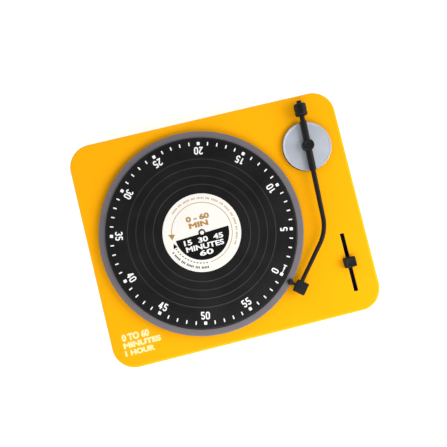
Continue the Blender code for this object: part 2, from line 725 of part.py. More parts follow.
def make_plates():
    """The clockwork's two plates, the pillars between them and the screws that hold them."""
    outline = rounded_rectangle(PLATE_LENGTH, PLATE_WIDTH, PLATE_CORNER, 5, PLATE_CENTRE)
    pins = [circle(PIN_RADIUS + RUNNING, 12, place) for place in (*gear_places(), balance_place())]
    pins.append(circle(HAMMER_PIN_RADIUS + RUNNING, 12, HAMMER_PIVOT))
    pins.append(circle(ARBOR_RADIUS + RUNNING, 24))
    pins += [circle(PILLAR_END + RUNNING, 12, place) for place in pillar_places()]
    screws = [circle(MOVEMENT_SCREW_RADIUS + SNUG, 12, place) for place in MOVEMENT_SCREWS]
    stop = circle(STOP_PIN_RADIUS + RUNNING, 12, polar(STOP_RADIUS, STOP_PIN_ANGLE))
    bell = circle(BELL_SCREW_RADIUS + RUNNING, 12, BELL_CENTRE)
    front = prism([outline, *pins, *screws], FRONT_PLATE_BOTTOM, FRONT_PLATE_TOP)
    back = prism([outline, *pins, stop, bell], BACK_PLATE_BOTTOM, BACK_PLATE_TOP)
    piece("front_plate", front, "steel", AXIS)
    piece("back_plate", back, "steel", AXIS)

    shoulder_bottom = BACK_PLATE_TOP + SNUG
    shoulder_top = FRONT_PLATE_BOTTOM - SNUG
    low = BACK_PLATE_BOTTOM - PILLAR_RIVET
    high = FRONT_PLATE_TOP + PILLAR_RIVET
    profile = [(0, high), (PILLAR_END, high), (PILLAR_END, shoulder_top)]
    profile += [(PILLAR_RADIUS, shoulder_top), (PILLAR_RADIUS, shoulder_bottom)]
    profile += [(PILLAR_END, shoulder_bottom), (PILLAR_END, low), (0, low)]
    for number, place in enumerate(pillar_places(), 1):
        piece(f"pillar_{number}", turned(profile, 12), "brass", offset(place))

    head_top = FRONT_PLATE_BOTTOM - SNUG
    head_bottom = head_top - MOVEMENT_SCREW_HEIGHT
    tip = CEILING + WALL / 6
    profile = [(0, tip), (MOVEMENT_SCREW_RADIUS, tip), (MOVEMENT_SCREW_RADIUS, head_top)]
    profile += [(MOVEMENT_SCREW_HEAD, head_top), (MOVEMENT_SCREW_HEAD, head_bottom)]
    profile.append((0, head_bottom))
    for number, place in enumerate(MOVEMENT_SCREWS, 1):
        piece(f"movement_screw_{number}", turned(profile, 12), "steel", offset(place))


def make_mainspring():
    """A flat strip wound in a spiral round the arbor, standing on edge over the back plate."""
    per_turn = 16
    count = SPRING_TURNS * per_turn
    rise = (SPRING_OUTER - SPRING_INNER - SPRING_STRIP) / count
    outer = []
    inner = []
    for i in range(count + 1):
        angle = math.tau * i / per_turn
        outer.append(polar(SPRING_INNER + SPRING_STRIP + rise * i, angle))
        inner.append(polar(SPRING_INNER + rise * i, angle))
    shape = prism([outer + inner[::-1]], SPRING_BOTTOM, SPRING_BOTTOM + SPRING_WIDTH)
    piece("mainspring", shape, "steel", AXIS)
    pin_top = STOP_ARM_BOTTOM + STOP_ARM_THICKNESS + SNUG
    pin = rod_profile(STOP_PIN_RADIUS, BACK_PLATE_BOTTOM + SNUG, pin_top)
    place = offset(polar(STOP_RADIUS, STOP_PIN_ANGLE))
    piece("stop_pin", turned(pin, 12), "steel", place)


def make_bell():
    """A shallow cup under the back plate and the screw that holds its middle."""
    top = BELL_BOTTOM + BELL_HEIGHT
    hole = BELL_SCREW_RADIUS + SNUG
    inner_corner = BELL_CORNER - BELL_THICKNESS
    centre = (BELL_RADIUS - BELL_CORNER, top - BELL_CORNER)
    steps = 2
    quarter = [math.pi / 2 * i / steps for i in range(steps + 1)]
    profile = [(hole, top)]
    profile += [polar(BELL_CORNER, math.pi / 2 - a, centre) for a in quarter]
    profile += [(BELL_RADIUS, BELL_BOTTOM), (BELL_RADIUS - BELL_THICKNESS, BELL_BOTTOM)]
    profile += [polar(inner_corner, a, centre) for a in quarter]
    profile += [(hole, top - BELL_THICKNESS)]
    place = offset(BELL_CENTRE)
    piece("bell", turned(profile, 32), "steel", place)

    head_top = top - BELL_THICKNESS - SNUG
    head_bottom = head_top - BELL_SCREW_HEIGHT
    washer_bottom = top + SNUG
    washer_top = BACK_PLATE_BOTTOM - SNUG
    high = BACK_PLATE_TOP - SNUG
    profile = [(0, high), (BELL_SCREW_RADIUS, high), (BELL_SCREW_RADIUS, head_top)]
    profile += [(BELL_SCREW_HEAD, head_top), (BELL_SCREW_HEAD, head_bottom), (0, head_bottom)]
    piece("bell_screw", turned(profile, 16), "steel", place)
    ring = ring_profile(hole, BELL_SCREW_HEAD, washer_bottom, washer_top)
    piece("bell_spacer", turned(ring, 16), "brass", place)


def make_gear(name, place, stages, sleeve_radius):
    """A one-piece moulded gear on its pin: a sleeve with a pinion, and a wheel if it has one."""
    turn = axis_empty(f"{name}_axis", offset(place))
    low = BACK_PLATE_TOP + REST
    high = FRONT_PLATE_BOTTOM - REST
    gear = piece(name, prism([circle(sleeve_radius, 16)], low, high), "white_plastic", parent=turn)
    for outline, bottom, top in stages:
        combine(gear, prism([outline], bottom, top), "UNION")
    hole = circle(PIN_RADIUS + RUNNING, 16)
    combine(gear, prism([hole], low - WALL, high + WALL), "DIFFERENCE")
    pin = rod_profile(PIN_RADIUS, BACK_PLATE_BOTTOM + SNUG, FRONT_PLATE_TOP - SNUG)
    piece(name.replace("gear", "pin"), turned(pin, 12), "steel", offset(place))


def make_train():
    """Second, third and escape gears, each driven at its pinion by the wheel before it."""
    places = gear_places()
    sleeve = PIN_RADIUS + SLEEVE_WALL
    second_wheel = CAM_BOTTOM
    third_wheel = second_wheel - THIRD_WHEEL_DROP
    escape_wheel = third_wheel + ESCAPE_WHEEL_RISE
    wheels = [
        (gear_outline(WHEEL_TEETH[1], MODULES[1], GEAR_ANGLES[1]), second_wheel),
        (gear_outline(WHEEL_TEETH[2], MODULES[2], GEAR_ANGLES[2]), third_wheel),
        (escape_outline(), escape_wheel),
    ]
    driven_at = [
        (DRIVE_BOTTOM, DRIVE_THICKNESS),
        (second_wheel, WHEEL_THICKNESS),
        (third_wheel, WHEEL_THICKNESS),
    ]
    names = ("second_gear", "third_gear", "escape_gear")
    for i, name in enumerate(names):
        phase = GEAR_ANGLES[i] + math.pi + math.pi / PINION_TEETH
        bottom, thickness = driven_at[i]
        pinion = (
            pinion_outline(MODULES[i], phase),
            bottom - PINION_OVERLAP,
            bottom + thickness + PINION_OVERLAP,
        )
        outline, wheel_bottom = wheels[i]
        wheel = (outline, wheel_bottom, wheel_bottom + WHEEL_THICKNESS)
        make_gear(name, places[i], [pinion, wheel], sleeve)


def escape_outline():
    """Outline of the escape wheel, whose teeth all lean one way."""
    step = math.tau / ESCAPE_TEETH
    points = []
    for i in range(ESCAPE_TEETH):
        points.append(polar(ESCAPE_RADIUS - ESCAPE_DEPTH, i * step))
        points.append(polar(ESCAPE_RADIUS, (i + 0.45) * step))
        points.append(polar(ESCAPE_RADIUS, (i + 0.55) * step))
        points.append(polar(ESCAPE_RADIUS - ESCAPE_DEPTH, (i + 0.6) * step))
    return points


def make_balance():
    """The rocking bar that paces the escape wheel, with a weight at each end and two prongs."""
    place = balance_place()
    turn = axis_empty("balance_axis", offset(place))
    bottom = BACK_PLATE_TOP + BALANCE_RISE
    top = bottom + WHEEL_THICKNESS
    low = BACK_PLATE_TOP + REST
    high = FRONT_PLATE_BOTTOM - REST
    sleeve = circle(PIN_RADIUS + SLEEVE_WALL, 16)
    balance = piece("balance_lever", prism([sleeve], low, high), "brass", parent=turn)
    across = BALANCE_ANGLE + math.pi / 2
    parts = [circle(BALANCE_HUB, 20)]
    parts.append(
        bar(polar(BALANCE_REACH, across), polar(-BALANCE_REACH, across), BALANCE_WEIGHT)
    )
    for outline in parts:
        combine(balance, prism([outline], bottom, top), "UNION")
    bottom -= REST
    top += REST
    for side in (-1, 1):
        weight = circle(BALANCE_WEIGHT, 16, polar(side * BALANCE_REACH, across))
        combine(balance, prism([weight], bottom, top), "UNION")
        root = polar(side * BALANCE_PRONG, across)
        prong = bar(root, polar(-BALANCE_PRONG, BALANCE_ANGLE, root), WHEEL_THICKNESS, 3)
        combine(balance, prism([prong], bottom, top), "UNION")
    hole = circle(PIN_RADIUS + RUNNING, 16)
    combine(balance, prism([hole], low - WALL, high + WALL), "DIFFERENCE")
    pin = rod_profile(PIN_RADIUS, BACK_PLATE_BOTTOM + SNUG, FRONT_PLATE_TOP - SNUG)
    piece("balance_pin", turned(pin, 12), "steel", offset(place))


def make_hammer():
    """The sprung lever whose head hangs beside the bell's rim and whose tail rides by the cam."""
    turn = axis_empty("hammer_axis", offset(HAMMER_PIVOT))
    head = hammer_place()
    to_head = (head[0] - HAMMER_PIVOT[0], head[1] - HAMMER_PIVOT[1])
    tail_tip = (-(CAM_RADIUS + HAMMER_ROOM + HAMMER_WIDTH / 2), -CAM_NOTCH)
    to_tail = (tail_tip[0] - HAMMER_PIVOT[0], tail_tip[1] - HAMMER_PIVOT[1])
    bottom = CAM_BOTTOM
    top = CAM_BOTTOM + CAM_THICKNESS
    hub = prism([circle(HAMMER_HUB, 20)], bottom - REST, top + REST)
    hammer = piece("hammer_lever", hub, "steel", parent=turn)
    for end in (to_head, to_tail):
        combine(hammer, prism([bar((0, 0), end, HAMMER_WIDTH)], bottom, top), "UNION")
    strike_top = BELL_BOTTOM + HAMMER_HEAD_HEIGHT
    profile = [(0, top - SNUG), (HAMMER_ROD, top - SNUG), (HAMMER_ROD, strike_top)]
    profile += [(HAMMER_HEAD, strike_top), (HAMMER_HEAD, BELL_BOTTOM), (0, BELL_BOTTOM)]
    combine(hammer, turned(profile, 16, to_head), "UNION")
    hole = circle(HAMMER_PIN_RADIUS + RUNNING, 16)
    combine(hammer, prism([hole], bottom - WALL, top + WALL), "DIFFERENCE")
    pin = rod_profile(HAMMER_PIN_RADIUS, BACK_PLATE_BOTTOM + SNUG, FRONT_PLATE_TOP - SNUG)
    piece("hammer_pin", turned(pin, 12), "steel", offset(HAMMER_PIVOT))
    radius = HAMMER_PIN_RADIUS + SNUG + HAMMER_WIRE
    low = BACK_PLATE_TOP + REST + HAMMER_WIRE
    high = bottom - 2 * REST - HAMMER_WIRE
    per_turn = 8
    count = HAMMER_COILS * per_turn
    points = []
    for i in range(count + 1):
        x, y = polar(radius, math.tau * i / per_turn)
        points.append((x, y, low + (high - low) * i / count))
    radii = [1.0] * len(points)
    tube("hammer_spring", points, radii, HAMMER_WIRE, "steel", offset(HAMMER_PIVOT), sides=0)


def tube(name, points, radii, radius, look, place=(0.0, 0.0), sides=4):
    """A round bar along a line of points, with each point's share of the full radius."""
    curve = bpy.data.curves.new(name, "CURVE")
    curve.dimensions = "3D"
    curve.bevel_depth = radius
    curve.bevel_resolution = sides
    curve.use_fill_caps = True
    spline = curve.splines.new("POLY")
    spline.points.add(len(points) - 1)
    for point, spot, share in zip(spline.points, points, radii):
        point.co = (*spot, 1)
        point.radius = share
    spline.use_smooth = True
    obj = new_object(name, curve, place, None)
    dress(obj, look)
    return obj


def lay_along_arm(obj, distance):
    """Turns an upright turned body down onto the arm's line, its z = 0 at this distance."""
    x, y = arm_place(distance)
    obj.rotation_mode = "XYZ"
    obj.rotation_euler = (-math.pi / 2, 0, -ARM_TILT)
    obj.location = (x, y, ARM_AXIS)


def make_arm():
    """The fixed pick-up arm, whose head carries the pointer that the dial is read against."""
    pocket = CASE_TOP - ARM_POCKET + REST
    base_top = CASE_TOP + ARM_BASE_HEIGHT
    profile = [(ARM_STEM + SNUG, base_top)]
    profile += rounded_edge(ARM_BASE_RADIUS, base_top, ARM_EDGE, 2)
    profile += [(ARM_BASE_RADIUS, pocket), (ARM_STEM + SNUG, pocket)]
    piece("arm_base", turned(profile, 40), "silver_satin", ARM_CENTRE)

    hub_bottom = base_top + SNUG
    hub_top = ARM_AXIS + REAR_TUBE_RADIUS + ARM_HUB_RISE
    stem_bottom = CEILING - REST - ARM_NUT_HEIGHT - REST
    profile = [(0, hub_top)] + rounded_edge(ARM_HUB, hub_top, ARM_EDGE, 2)
    profile += [(ARM_HUB, hub_bottom), (ARM_STEM, hub_bottom)]
    profile += [(ARM_STEM, stem_bottom), (0, stem_bottom)]
    post = piece("arm_post", turned(profile, 24), "black_matte", ARM_CENTRE)
    bore = rod_profile(REAR_TUBE_RADIUS + RUNNING, -2 * ARM_HUB, 2 * ARM_HUB)
    helper = mesh_object("arm_post_bore", turned(bore, 24))
    lay_along_arm(helper, 0)
    apply_helper(post, helper, "DIFFERENCE")

    nut_top = CEILING - REST
    sides = [circle(ARM_NUT, 6), circle(ARM_STEM + RUNNING, 16)]
    piece("arm_nut", prism(sides, nut_top - ARM_NUT_HEIGHT, nut_top), "steel", ARM_CENTRE)

    reach = REAR_TUBE_REACH
    socket = ARM_TUBE_RADIUS + RUNNING
    deep = reach - SOCKET_DEPTH
    profile = [(0, deep), (socket, deep), (socket, reach), (REAR_TUBE_RADIUS, reach)]
    profile += [(REAR_TUBE_RADIUS, -reach), (socket, -reach), (socket, -deep), (0, -deep)]
    rear = piece("rear_tube", turned(profile, 24), "black_matte")
    lay_along_arm(rear, 0)

    weight_end = WEIGHT_START + WEIGHT_LENGTH
    shaft = rod_profile(ARM_TUBE_RADIUS, deep + REST, weight_end + WEIGHT_NUB)
    lay_along_arm(piece("weight_shaft", turned(shaft, 20), "black_matte"), 0)
    profile = [(socket, weight_end)]
    profile += rounded_edge(WEIGHT_RADIUS, weight_end, WEIGHT_EDGE, 2)
    profile += [(r, 2 * WEIGHT_START + WEIGHT_LENGTH - z) for r, z in profile[::-1]]
    lay_along_arm(piece("counterweight", turned(profile, 24), "black_matte"), 0)
    make_arm_tube(deep)
    make_head()


def make_arm_tube(deep):
    """The thin tube: straight out of the rear tube, round one bend, straight into the head."""
    lead, meet = arm_lead()
    corner = arm_place(-ARM_REACH)
    first = -math.pi / 2 - ARM_TILT
    turn = first - lead
    tangent = ARM_BEND * math.tan(turn / 2)
    start = polar(-tangent, first, corner)
    middle = polar(ARM_BEND, first - math.pi / 2, start)
    steps = 14
    line = [arm_place(-(deep + REST)), arm_place(-(REAR_TUBE_REACH + SOCKET_DEPTH))]
    for i in range(steps + 1):
        line.append(polar(ARM_BEND, first + math.pi / 2 - turn * i / steps, middle))
    straight = math.dist(line[-1], meet) - HEAD_LENGTH / 4
    line.append(polar(straight / 2, lead, line[-1]))
    line.append(polar(straight / 2, lead, line[-1]))
    lengths = [0.0]
    for a, b in zip(line, line[1:]):
        lengths.append(lengths[-1] + math.dist(a, b))
    taper_start = lengths[2]
    radii = []
    for length in lengths:
        share = max(0.0, (length - taper_start) / (lengths[-1] - taper_start))
        radii.append(1 - share * (1 - ARM_TUBE_END / ARM_TUBE_RADIUS))
    points = [(x, y, ARM_AXIS) for x, y in line]
    tube("arm_tube", points, radii, ARM_TUBE_RADIUS, "black_matte", sides=3)


def make_head():
    """The head at the arm's end, with its pointer and the socket that takes the tube."""
    lead, meet = arm_lead()
    centre = head_place()
    bottom = CASE_TOP + HEAD_BOTTOM
    top = bottom + HEAD_HEIGHT
    shape = prism([rectangle(HEAD_LENGTH, HEAD_WIDTH, centre, lead)], bottom, top)
    upright = [edge for edge in shape.edges if abs(edge.verts[0].co.z - edge.verts[1].co.z) > 1e-6]
    bmesh.ops.bevel(
        shape, geom=upright, offset=HEAD_ROUND, segments=3, profile=0.5, affect="EDGES"
    )
    round_rim(shape, top, HEAD_ROUND / 2, 2)
    head = piece("headshell", shape, "black_matte")
    low = CASE_TOP + POINTER_BOTTOM
    pointer = paddle(centre, pointer_place(), POINTER_WIDTH, POINTER_PAD)
    combine(head, prism([pointer], low, low + POINTER_THICKNESS), "UNION")
    room = ARM_TUBE_END + SNUG
    bore = rod_profile(room, -HEAD_LENGTH / 4 - REST, HEAD_LENGTH)
    socket = mesh_object("headshell_socket", turned(bore, 16))
    socket.rotation_euler = (math.pi / 2, 0, lead - math.pi / 2)
    socket.location = (meet[0], meet[1], ARM_AXIS)
    apply_helper(head, socket, "DIFFERENCE")


def make_slider():
    """The sliding knob, the clip that keeps it in its slot and the track under the slot."""
    slide = axis_empty("slider_axis", SLOT_CENTRE)
    bottom = CASE_TOP + REST
    top = bottom + KNOB_HEIGHT
    shape = prism([rounded_rectangle(KNOB_LENGTH, KNOB_WIDTH, KNOB_ROUND, 3)], bottom, top)
    round_rim(shape, top, KNOB_ROUND, 2)
    knob = piece("slider_knob", shape, "black_matte", parent=slide)
    stem = rectangle(STEM_WIDTH, STEM_LENGTH)
    combine(knob, prism([stem], CASE_TOP - STEM_DEPTH, bottom + REST), "UNION")

    clip_top = CEILING - 2 * REST
    hole = rectangle(STEM_WIDTH + 2 * SNUG, STEM_LENGTH + 2 * SNUG)
    sides = [rectangle(SLIDER_CLIP_WIDTH, SLIDER_CLIP_LENGTH), hole]
    shape = prism(sides, clip_top - SLIDER_CLIP_HEIGHT, clip_top)
    piece("slider_clip", shape, "steel", parent=slide)

    track_top = CEILING - REST
    track_bottom = track_top - TRACK_DEPTH
    width = SLIDER_CLIP_WIDTH + 4 * SNUG
    length = SLOT_LENGTH + 2 * TRACK_ROOM
    outside = rectangle(width + 2 * TRACK_WALL, length + 2 * TRACK_WALL)
    block = prism([outside], track_bottom, track_top)
    track = piece("slider_track", block, "black_matte", SLOT_CENTRE)
    trough = prism([rectangle(width, length)], track_bottom + TRACK_FLOOR, track_top + WALL)
    combine(track, trough, "DIFFERENCE")


def main():
    for obj in list(bpy.data.objects):
        bpy.data.objects.remove(obj)
    make_case()
    make_dial()
    make_plates()
    make_mainspring()
    make_bell()
    make_train()
    make_balance()
    make_hammer()
    make_arm()
    make_slider()


main()
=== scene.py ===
"""Looks of a wind-up kitchen timer in the form of a small record player.

Every new piece is a surface worked out with numpy: rows of points that are carried round an
upright line, along a straight or bent arm, or outwards over a rounded rectangle. Lengths are
in metres, and +Z is up out of the dial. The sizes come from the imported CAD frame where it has
them, and from the properties below where it hasn't.
"""

import json
import math

import bmesh
import bpy
import numpy as np
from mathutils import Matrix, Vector


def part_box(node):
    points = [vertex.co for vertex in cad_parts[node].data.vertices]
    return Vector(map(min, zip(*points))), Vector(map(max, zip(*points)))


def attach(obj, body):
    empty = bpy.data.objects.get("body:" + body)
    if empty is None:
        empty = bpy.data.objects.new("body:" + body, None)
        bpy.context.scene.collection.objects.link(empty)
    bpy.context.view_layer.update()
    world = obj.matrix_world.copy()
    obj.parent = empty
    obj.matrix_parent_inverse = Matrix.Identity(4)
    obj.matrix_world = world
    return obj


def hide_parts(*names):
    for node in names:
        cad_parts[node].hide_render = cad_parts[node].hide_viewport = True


bl_info = {
    "name": "Record player kitchen timer",
    "version": (1, 0, 0),
    "blender": (4, 5, 0),
    "location": "3D View > Sidebar > Timer",
    "description": "Builds the finished look of a record player kitchen timer",
    "category": "Object",
}

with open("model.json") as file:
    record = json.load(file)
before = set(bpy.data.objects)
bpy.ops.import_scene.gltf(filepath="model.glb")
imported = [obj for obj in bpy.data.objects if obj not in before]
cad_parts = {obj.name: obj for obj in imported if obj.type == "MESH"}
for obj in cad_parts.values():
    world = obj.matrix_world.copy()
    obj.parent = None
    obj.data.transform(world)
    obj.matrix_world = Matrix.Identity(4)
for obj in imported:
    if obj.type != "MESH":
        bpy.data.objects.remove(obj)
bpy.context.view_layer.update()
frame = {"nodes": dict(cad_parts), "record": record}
MM = 0.001
UP = np.array((0.0, 0.0, 1.0))
INK = 0.03 * MM  # how far a printed film stands over what it is printed on
MINUTE = math.radians(6)  # one minute of the dial's turn
ZERO = math.radians(-41.3)  # direction of the zero mark from the dial's middle


def edges_of(node):
    """Lowest and highest corner of a CAD node as two arrays."""
    low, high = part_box(node)
    return np.array(low), np.array(high)


def middle_of(node):
    """The middle of a CAD node's box, seen from above."""
    low, high = edges_of(node)
    return ((low + high) / 2)[:2]


def radius_of(node):
    """Radius of a round upright CAD node."""
    low, high = edges_of(node)
    return (high[0] - low[0]) / 2


def linear(code):
    """A colour written as #RRGGBB, in the linear values that a shader takes."""
    values = np.array([int(code[i : i + 2], 16) / 255 for i in (1, 3, 5)])
    bright = ((values + 0.055) / 1.055) ** 2.4
    return tuple(np.where(values <= 0.04045, values / 12.92, bright))


# ---------------------------------------------------------------- surfaces


def supported(profile, near=0.06 * MM):
    """Adds a point close to both ends of each long stretch of a profile, so that the shading
    of a rounded edge stays at the edge. The points are start + near and end - near along it."""
    profile = np.asarray(profile, float)
    step = np.diff(profile, axis=0)
    length = np.linalg.norm(step, axis=1)
    long = np.flatnonzero(length > 6 * near)
    along = step[long] / length[long, None] * near
    rows = np.concatenate([profile[long] + along, profile[long + 1] - along])
    return np.insert(profile, np.concatenate([long + 1, long + 1]), rows, axis=0)


def fillet(centre, radius, start, end, steps=6):
    """Points of an arc about centre from angle start to angle end, in degrees."""
    angle = np.radians(np.linspace(start, end, steps + 1))
    return np.stack([centre[0] + radius * np.cos(angle), centre[1] + radius * np.sin(angle)], 1)


def grid_faces(rows, columns, ring):
    """Quads between neighbouring rows of points. Each row closes on itself, and with ring the
    last row also meets the first one."""
    first = np.arange(rows if ring else rows - 1)[:, None]
    column = np.arange(columns)[None, :]
    after = (column + 1) % columns
    below = (first + 1) % rows
    quads = [first * columns + column, first * columns + after]
    quads += [below * columns + after, below * columns + column]
    return np.stack(quads, -1).reshape(-1, 4)


def solid(rows, ring=False):
    """A closed mesh from rows of points, an array of (row, column, xyz). The end rows are
    closed by drawing them together to their middles, unless the rows form a ring. The faces
    are turned outwards by the sign of the volume, the sum of a . (b x c) over them."""
    rows = np.asarray(rows, float)
    if not ring:
        start = np.broadcast_to(rows[:1].mean(axis=1, keepdims=True), rows[:1].shape)
        end = np.broadcast_to(rows[-1:].mean(axis=1, keepdims=True), rows[-1:].shape)
        rows = np.concatenate([start, rows, end])
    faces = grid_faces(rows.shape[0], rows.shape[1], ring)
    points = rows.reshape(-1, 3)
    a, b, c, d = (points[faces[:, k]] - points.mean(0) for k in range(4))
    volume = np.einsum("ij,ij->", a, np.cross(b, c)) + np.einsum("ij,ij->", a, np.cross(c, d))
    if volume < 0:
        faces = faces[:, ::-1]
    mesh = bpy.data.meshes.new("surface")
    mesh.vertices.add(len(points))
    mesh.vertices.foreach_set("co", points.astype(np.float32).ravel())
    mesh.loops.add(faces.size)
    mesh.loops.foreach_set("vertex_index", faces.astype(np.int32).ravel())
    mesh.polygons.add(len(faces))
    mesh.polygons.foreach_set("loop_start", np.arange(len(faces), dtype=np.int32) * 4)
    mesh.update(calc_edges=True)
    return merged(mesh)


def merged(mesh):
    """Merges points that lie on each other, which closes a mesh's seams and poles."""
    work = bmesh.new()
    work.from_mesh(mesh)
    bmesh.ops.remove_doubles(work, verts=work.verts, dist=1e-7)
    bmesh.ops.dissolve_degenerate(work, edges=work.edges, dist=1e-8)
    work.to_mesh(mesh)
    work.free()
    return mesh


def joined(name, meshes):
    """One mesh that holds all of these closed meshes side by side."""
    work = bmesh.new()
    for mesh in meshes:
        work.from_mesh(mesh)
        bpy.data.meshes.remove(mesh)
    whole = bpy.data.meshes.new(name)
    work.to_mesh(whole)
    work.free()
    return whole


def combined(mesh, tool, operation):
    """A closed mesh with a closed tool added to it (UNION) or cut out of it (DIFFERENCE)."""
    objects = [bpy.data.objects.new("shape", m) for m in (mesh, tool)]
    for obj in objects:
        bpy.context.scene.collection.objects.link(obj)
    modifier = objects[0].modifiers.new("combine", "BOOLEAN")
    modifier.operation = operation
    modifier.object = objects[1]
    graph = bpy.context.evaluated_depsgraph_get()
    result = bpy.data.meshes.new_from_object(objects[0].evaluated_get(graph))
    for obj in objects:
        used = obj.data
        bpy.data.objects.remove(obj)
        bpy.data.meshes.remove(used)
    return result


def piece(name, meshes, material, body, replaced=(), sharp=35):
    """One finished piece from closed meshes, which rides on its CAD body."""
    whole = joined(name, meshes)
    whole.shade_smooth()
    whole.set_sharp_from_angle(angle=math.radians(sharp))
    whole.materials.append(material)
    obj = bpy.data.objects.new(name, whole)
    bpy.context.scene.collection.objects.link(obj)
    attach(obj, body)
    if replaced:
        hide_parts(*replaced)
    return obj


def turned(profile, centre, steps=128):
    """A turned shape: each (radius, height) point of the profile goes round the upright line
    through centre, P(u, i) = (x + r(i) cos u, y + r(i) sin u, z(i)). A profile that stays off
    the line closes on itself, which makes a ring."""
    profile = np.asarray(profile, float)
    ring = profile[0, 0] > 0
    if ring:
        profile = supported(np.concatenate([profile, profile[:1]]))[:-1]
    else:
        profile = supported(profile)
    angle = np.linspace(0, math.tau, steps, endpoint=False)
    radius, height = profile[:, :1], profile[:, 1:]
    x = centre[0] + radius * np.cos(angle)
    y = centre[1] + radius * np.sin(angle)
    return solid(np.stack([x, y, np.broadcast_to(height, x.shape)], -1), ring)


def rod(radius, bottom, top, centre, steps=32):
    """An upright round rod."""
    return turned([(0, bottom), (radius, bottom), (radius, top), (0, top)], centre, steps)


def carried(centres, tangents, radii, steps=40):
    """A round bar along a flat line: ring i lies across tangent i with radius r(i).
    P(u, i) = C(i) + r(i) (cos u . side(i) + sin u . up), where side = tangent x up."""
    tangents = tangents / np.linalg.norm(tangents, axis=1, keepdims=True)
    side = np.cross(tangents, UP)
    angle = np.linspace(0, math.tau, steps, endpoint=False)[None, :, None]
    radii = np.asarray(radii, float)[:, None, None]
    offset = np.cos(angle) * side[:, None, :] + np.sin(angle) * UP
    return solid(centres[:, None, :] + radii * offset)


def bar_along(start, direction, profile, steps=40):
    """A turned shape laid along a level line, from (radius, distance from start) points."""
    profile = supported(profile)
    direction = np.asarray(direction, float)
    centres = np.asarray(start) + profile[:, 1:] * direction
    tangents = np.broadcast_to(direction, centres.shape)
    return carried(centres, tangents, profile[:, 0], steps)


def rounded_outline(length, width, corner, steps=12, sides=6):
    """Outline of a rounded rectangle about the origin: four arcs of `steps` pieces, whose ends
    are joined by sides in `sides` pieces. It always has 4 (steps + sides) points."""
    corner = max(corner, 0.01 * MM)
    angle = np.radians(np.linspace(0, 90, steps + 1))
    quarter = corner * np.stack([np.cos(angle), np.sin(angle)], 1)
    centre = np.array((length / 2 - corner, width / 2 - corner))
    points = []
    for turn, sign in enumerate(((1, 1), (-1, 1), (-1, -1), (1, -1))):
        c, s = round(math.cos(turn * math.pi / 2)), round(math.sin(turn * math.pi / 2))
        points.append(quarter @ np.array(((c, s), (-s, c))) + centre * sign)
    outline = []
    share = np.linspace(0, 1, sides + 1)[1:-1, None]
    for arc, following in zip(points, points[1:] + points[:1]):
        outline += [arc, arc[-1] * (1 - share) + following[0] * share]
    return np.concatenate(outline)


def placed(points, angle, place):
    """Flat points turned by angle about the origin and then moved to place."""
    c, s = math.cos(angle), math.sin(angle)
    return points @ np.array(((c, s), (-s, c))) + np.asarray(place)


def soft_top(soft, top):
    """(inset, height) rows of an upper edge that is rounded by soft, up to the flat top."""
    angle = np.radians(np.linspace(90, 0, 7))
    return list(zip(soft * (1 - np.sin(angle)), top - soft * (1 - np.cos(angle))))


def level_rows(outlines, heights):
    """Rows of points from flat outlines at their heights."""
    heights = np.asarray(heights, float)[:, None, None]
    outlines = np.asarray(outlines)
    shape = (*outlines.shape[:2], 1)
    return np.concatenate([outlines, np.broadcast_to(heights, shape)], -1)


def block(size, corner, rows, centre, angle=0.0, steps=6):
    """A block whose outline is a rounded rectangle, drawn in by `inset` at each height of the
    (inset, height) rows. It is turned by angle and moved to centre."""
    length, width = size
    rows = supported(rows)
    outlines = [
        rounded_outline(length - 2 * inset, width - 2 * inset, corner - inset, steps)
        for inset in rows[:, 0]
    ]
    return solid(level_rows(placed(np.array(outlines), angle, centre), rows[:, 1]))


def ribbon(inner, outer, bottom, top, closed=False):
    """A thin flat shape between two lines of points, with its ends closed or, if the lines
    are closed, joined. Each cross row runs inner bottom, outer bottom, outer top, inner top."""
    inner, outer = np.asarray(inner, float), np.asarray(outer, float)
    corners = [(inner, bottom), (outer, bottom), (outer, top), (inner, top)]
    rows = [np.column_stack([line, np.full(len(line), z)]) for line, z in corners]
    return solid(np.stack(rows, 1), closed)


def arc_line(radius, start, end, centre, pitch=math.radians(2)):
    """Points of an arc about centre, from angle start to end in radians."""
    count = max(2, int(abs(end - start) / pitch) + 1)
    angle = np.linspace(start, end, count)
    return np.stack([centre[0] + radius * np.cos(angle), centre[1] + radius * np.sin(angle)], 1)


def arc_ribbon(radius, width, start, end, centre, bottom, top):
    """A printed arc of this width."""
    inner = arc_line(radius - width / 2, start, end, centre)
    outer = arc_line(radius + width / 2, start, end, centre)
    return ribbon(inner, outer, bottom, top)


def mark(length, width, place, angle, bottom, top, power=4.0, steps=8):
    """A printed mark with softly rounded corners, length along angle: the superellipse
    |x / a|^n + |y / b|^n = 1, whose lower and upper halves are the ribbon's two lines."""
    t = np.linspace(0, math.pi, 2 * steps + 1)
    x = length / 2 * np.sign(np.cos(t)) * np.abs(np.cos(t)) ** (2 / power)
    y = width / 2 * np.sin(t) ** (2 / power)
    lower = placed(np.stack([x, -y], 1), angle, place)
    upper = placed(np.stack([x, y], 1), angle, place)
    return ribbon(lower, upper, bottom, top)


def paddle(start, centre, width, radius, steps=32):
    """Outline of a flat bar from start that ends in a round pad about centre. The pad's arc
    stops where |sin t| = width / 2 radius, at which the bar's sides meet it."""
    along = centre - start
    angle = math.atan2(along[1], along[0])
    reach = math.pi - math.asin(width / 2 / radius)
    turn = angle + np.linspace(-reach, reach, steps + 1)
    arc = centre + radius * np.stack([np.cos(turn), np.sin(turn)], 1)
    side = width / 2 * np.array((-math.sin(angle), math.cos(angle)))
    return np.concatenate([arc, [start + side, start - side]])


def polar(radius, angle, centre=(0.0, 0.0)):
    """The point at this distance and angle from centre."""
    return np.array((centre[0] + radius * math.cos(angle), centre[1] + radius * math.sin(angle)))


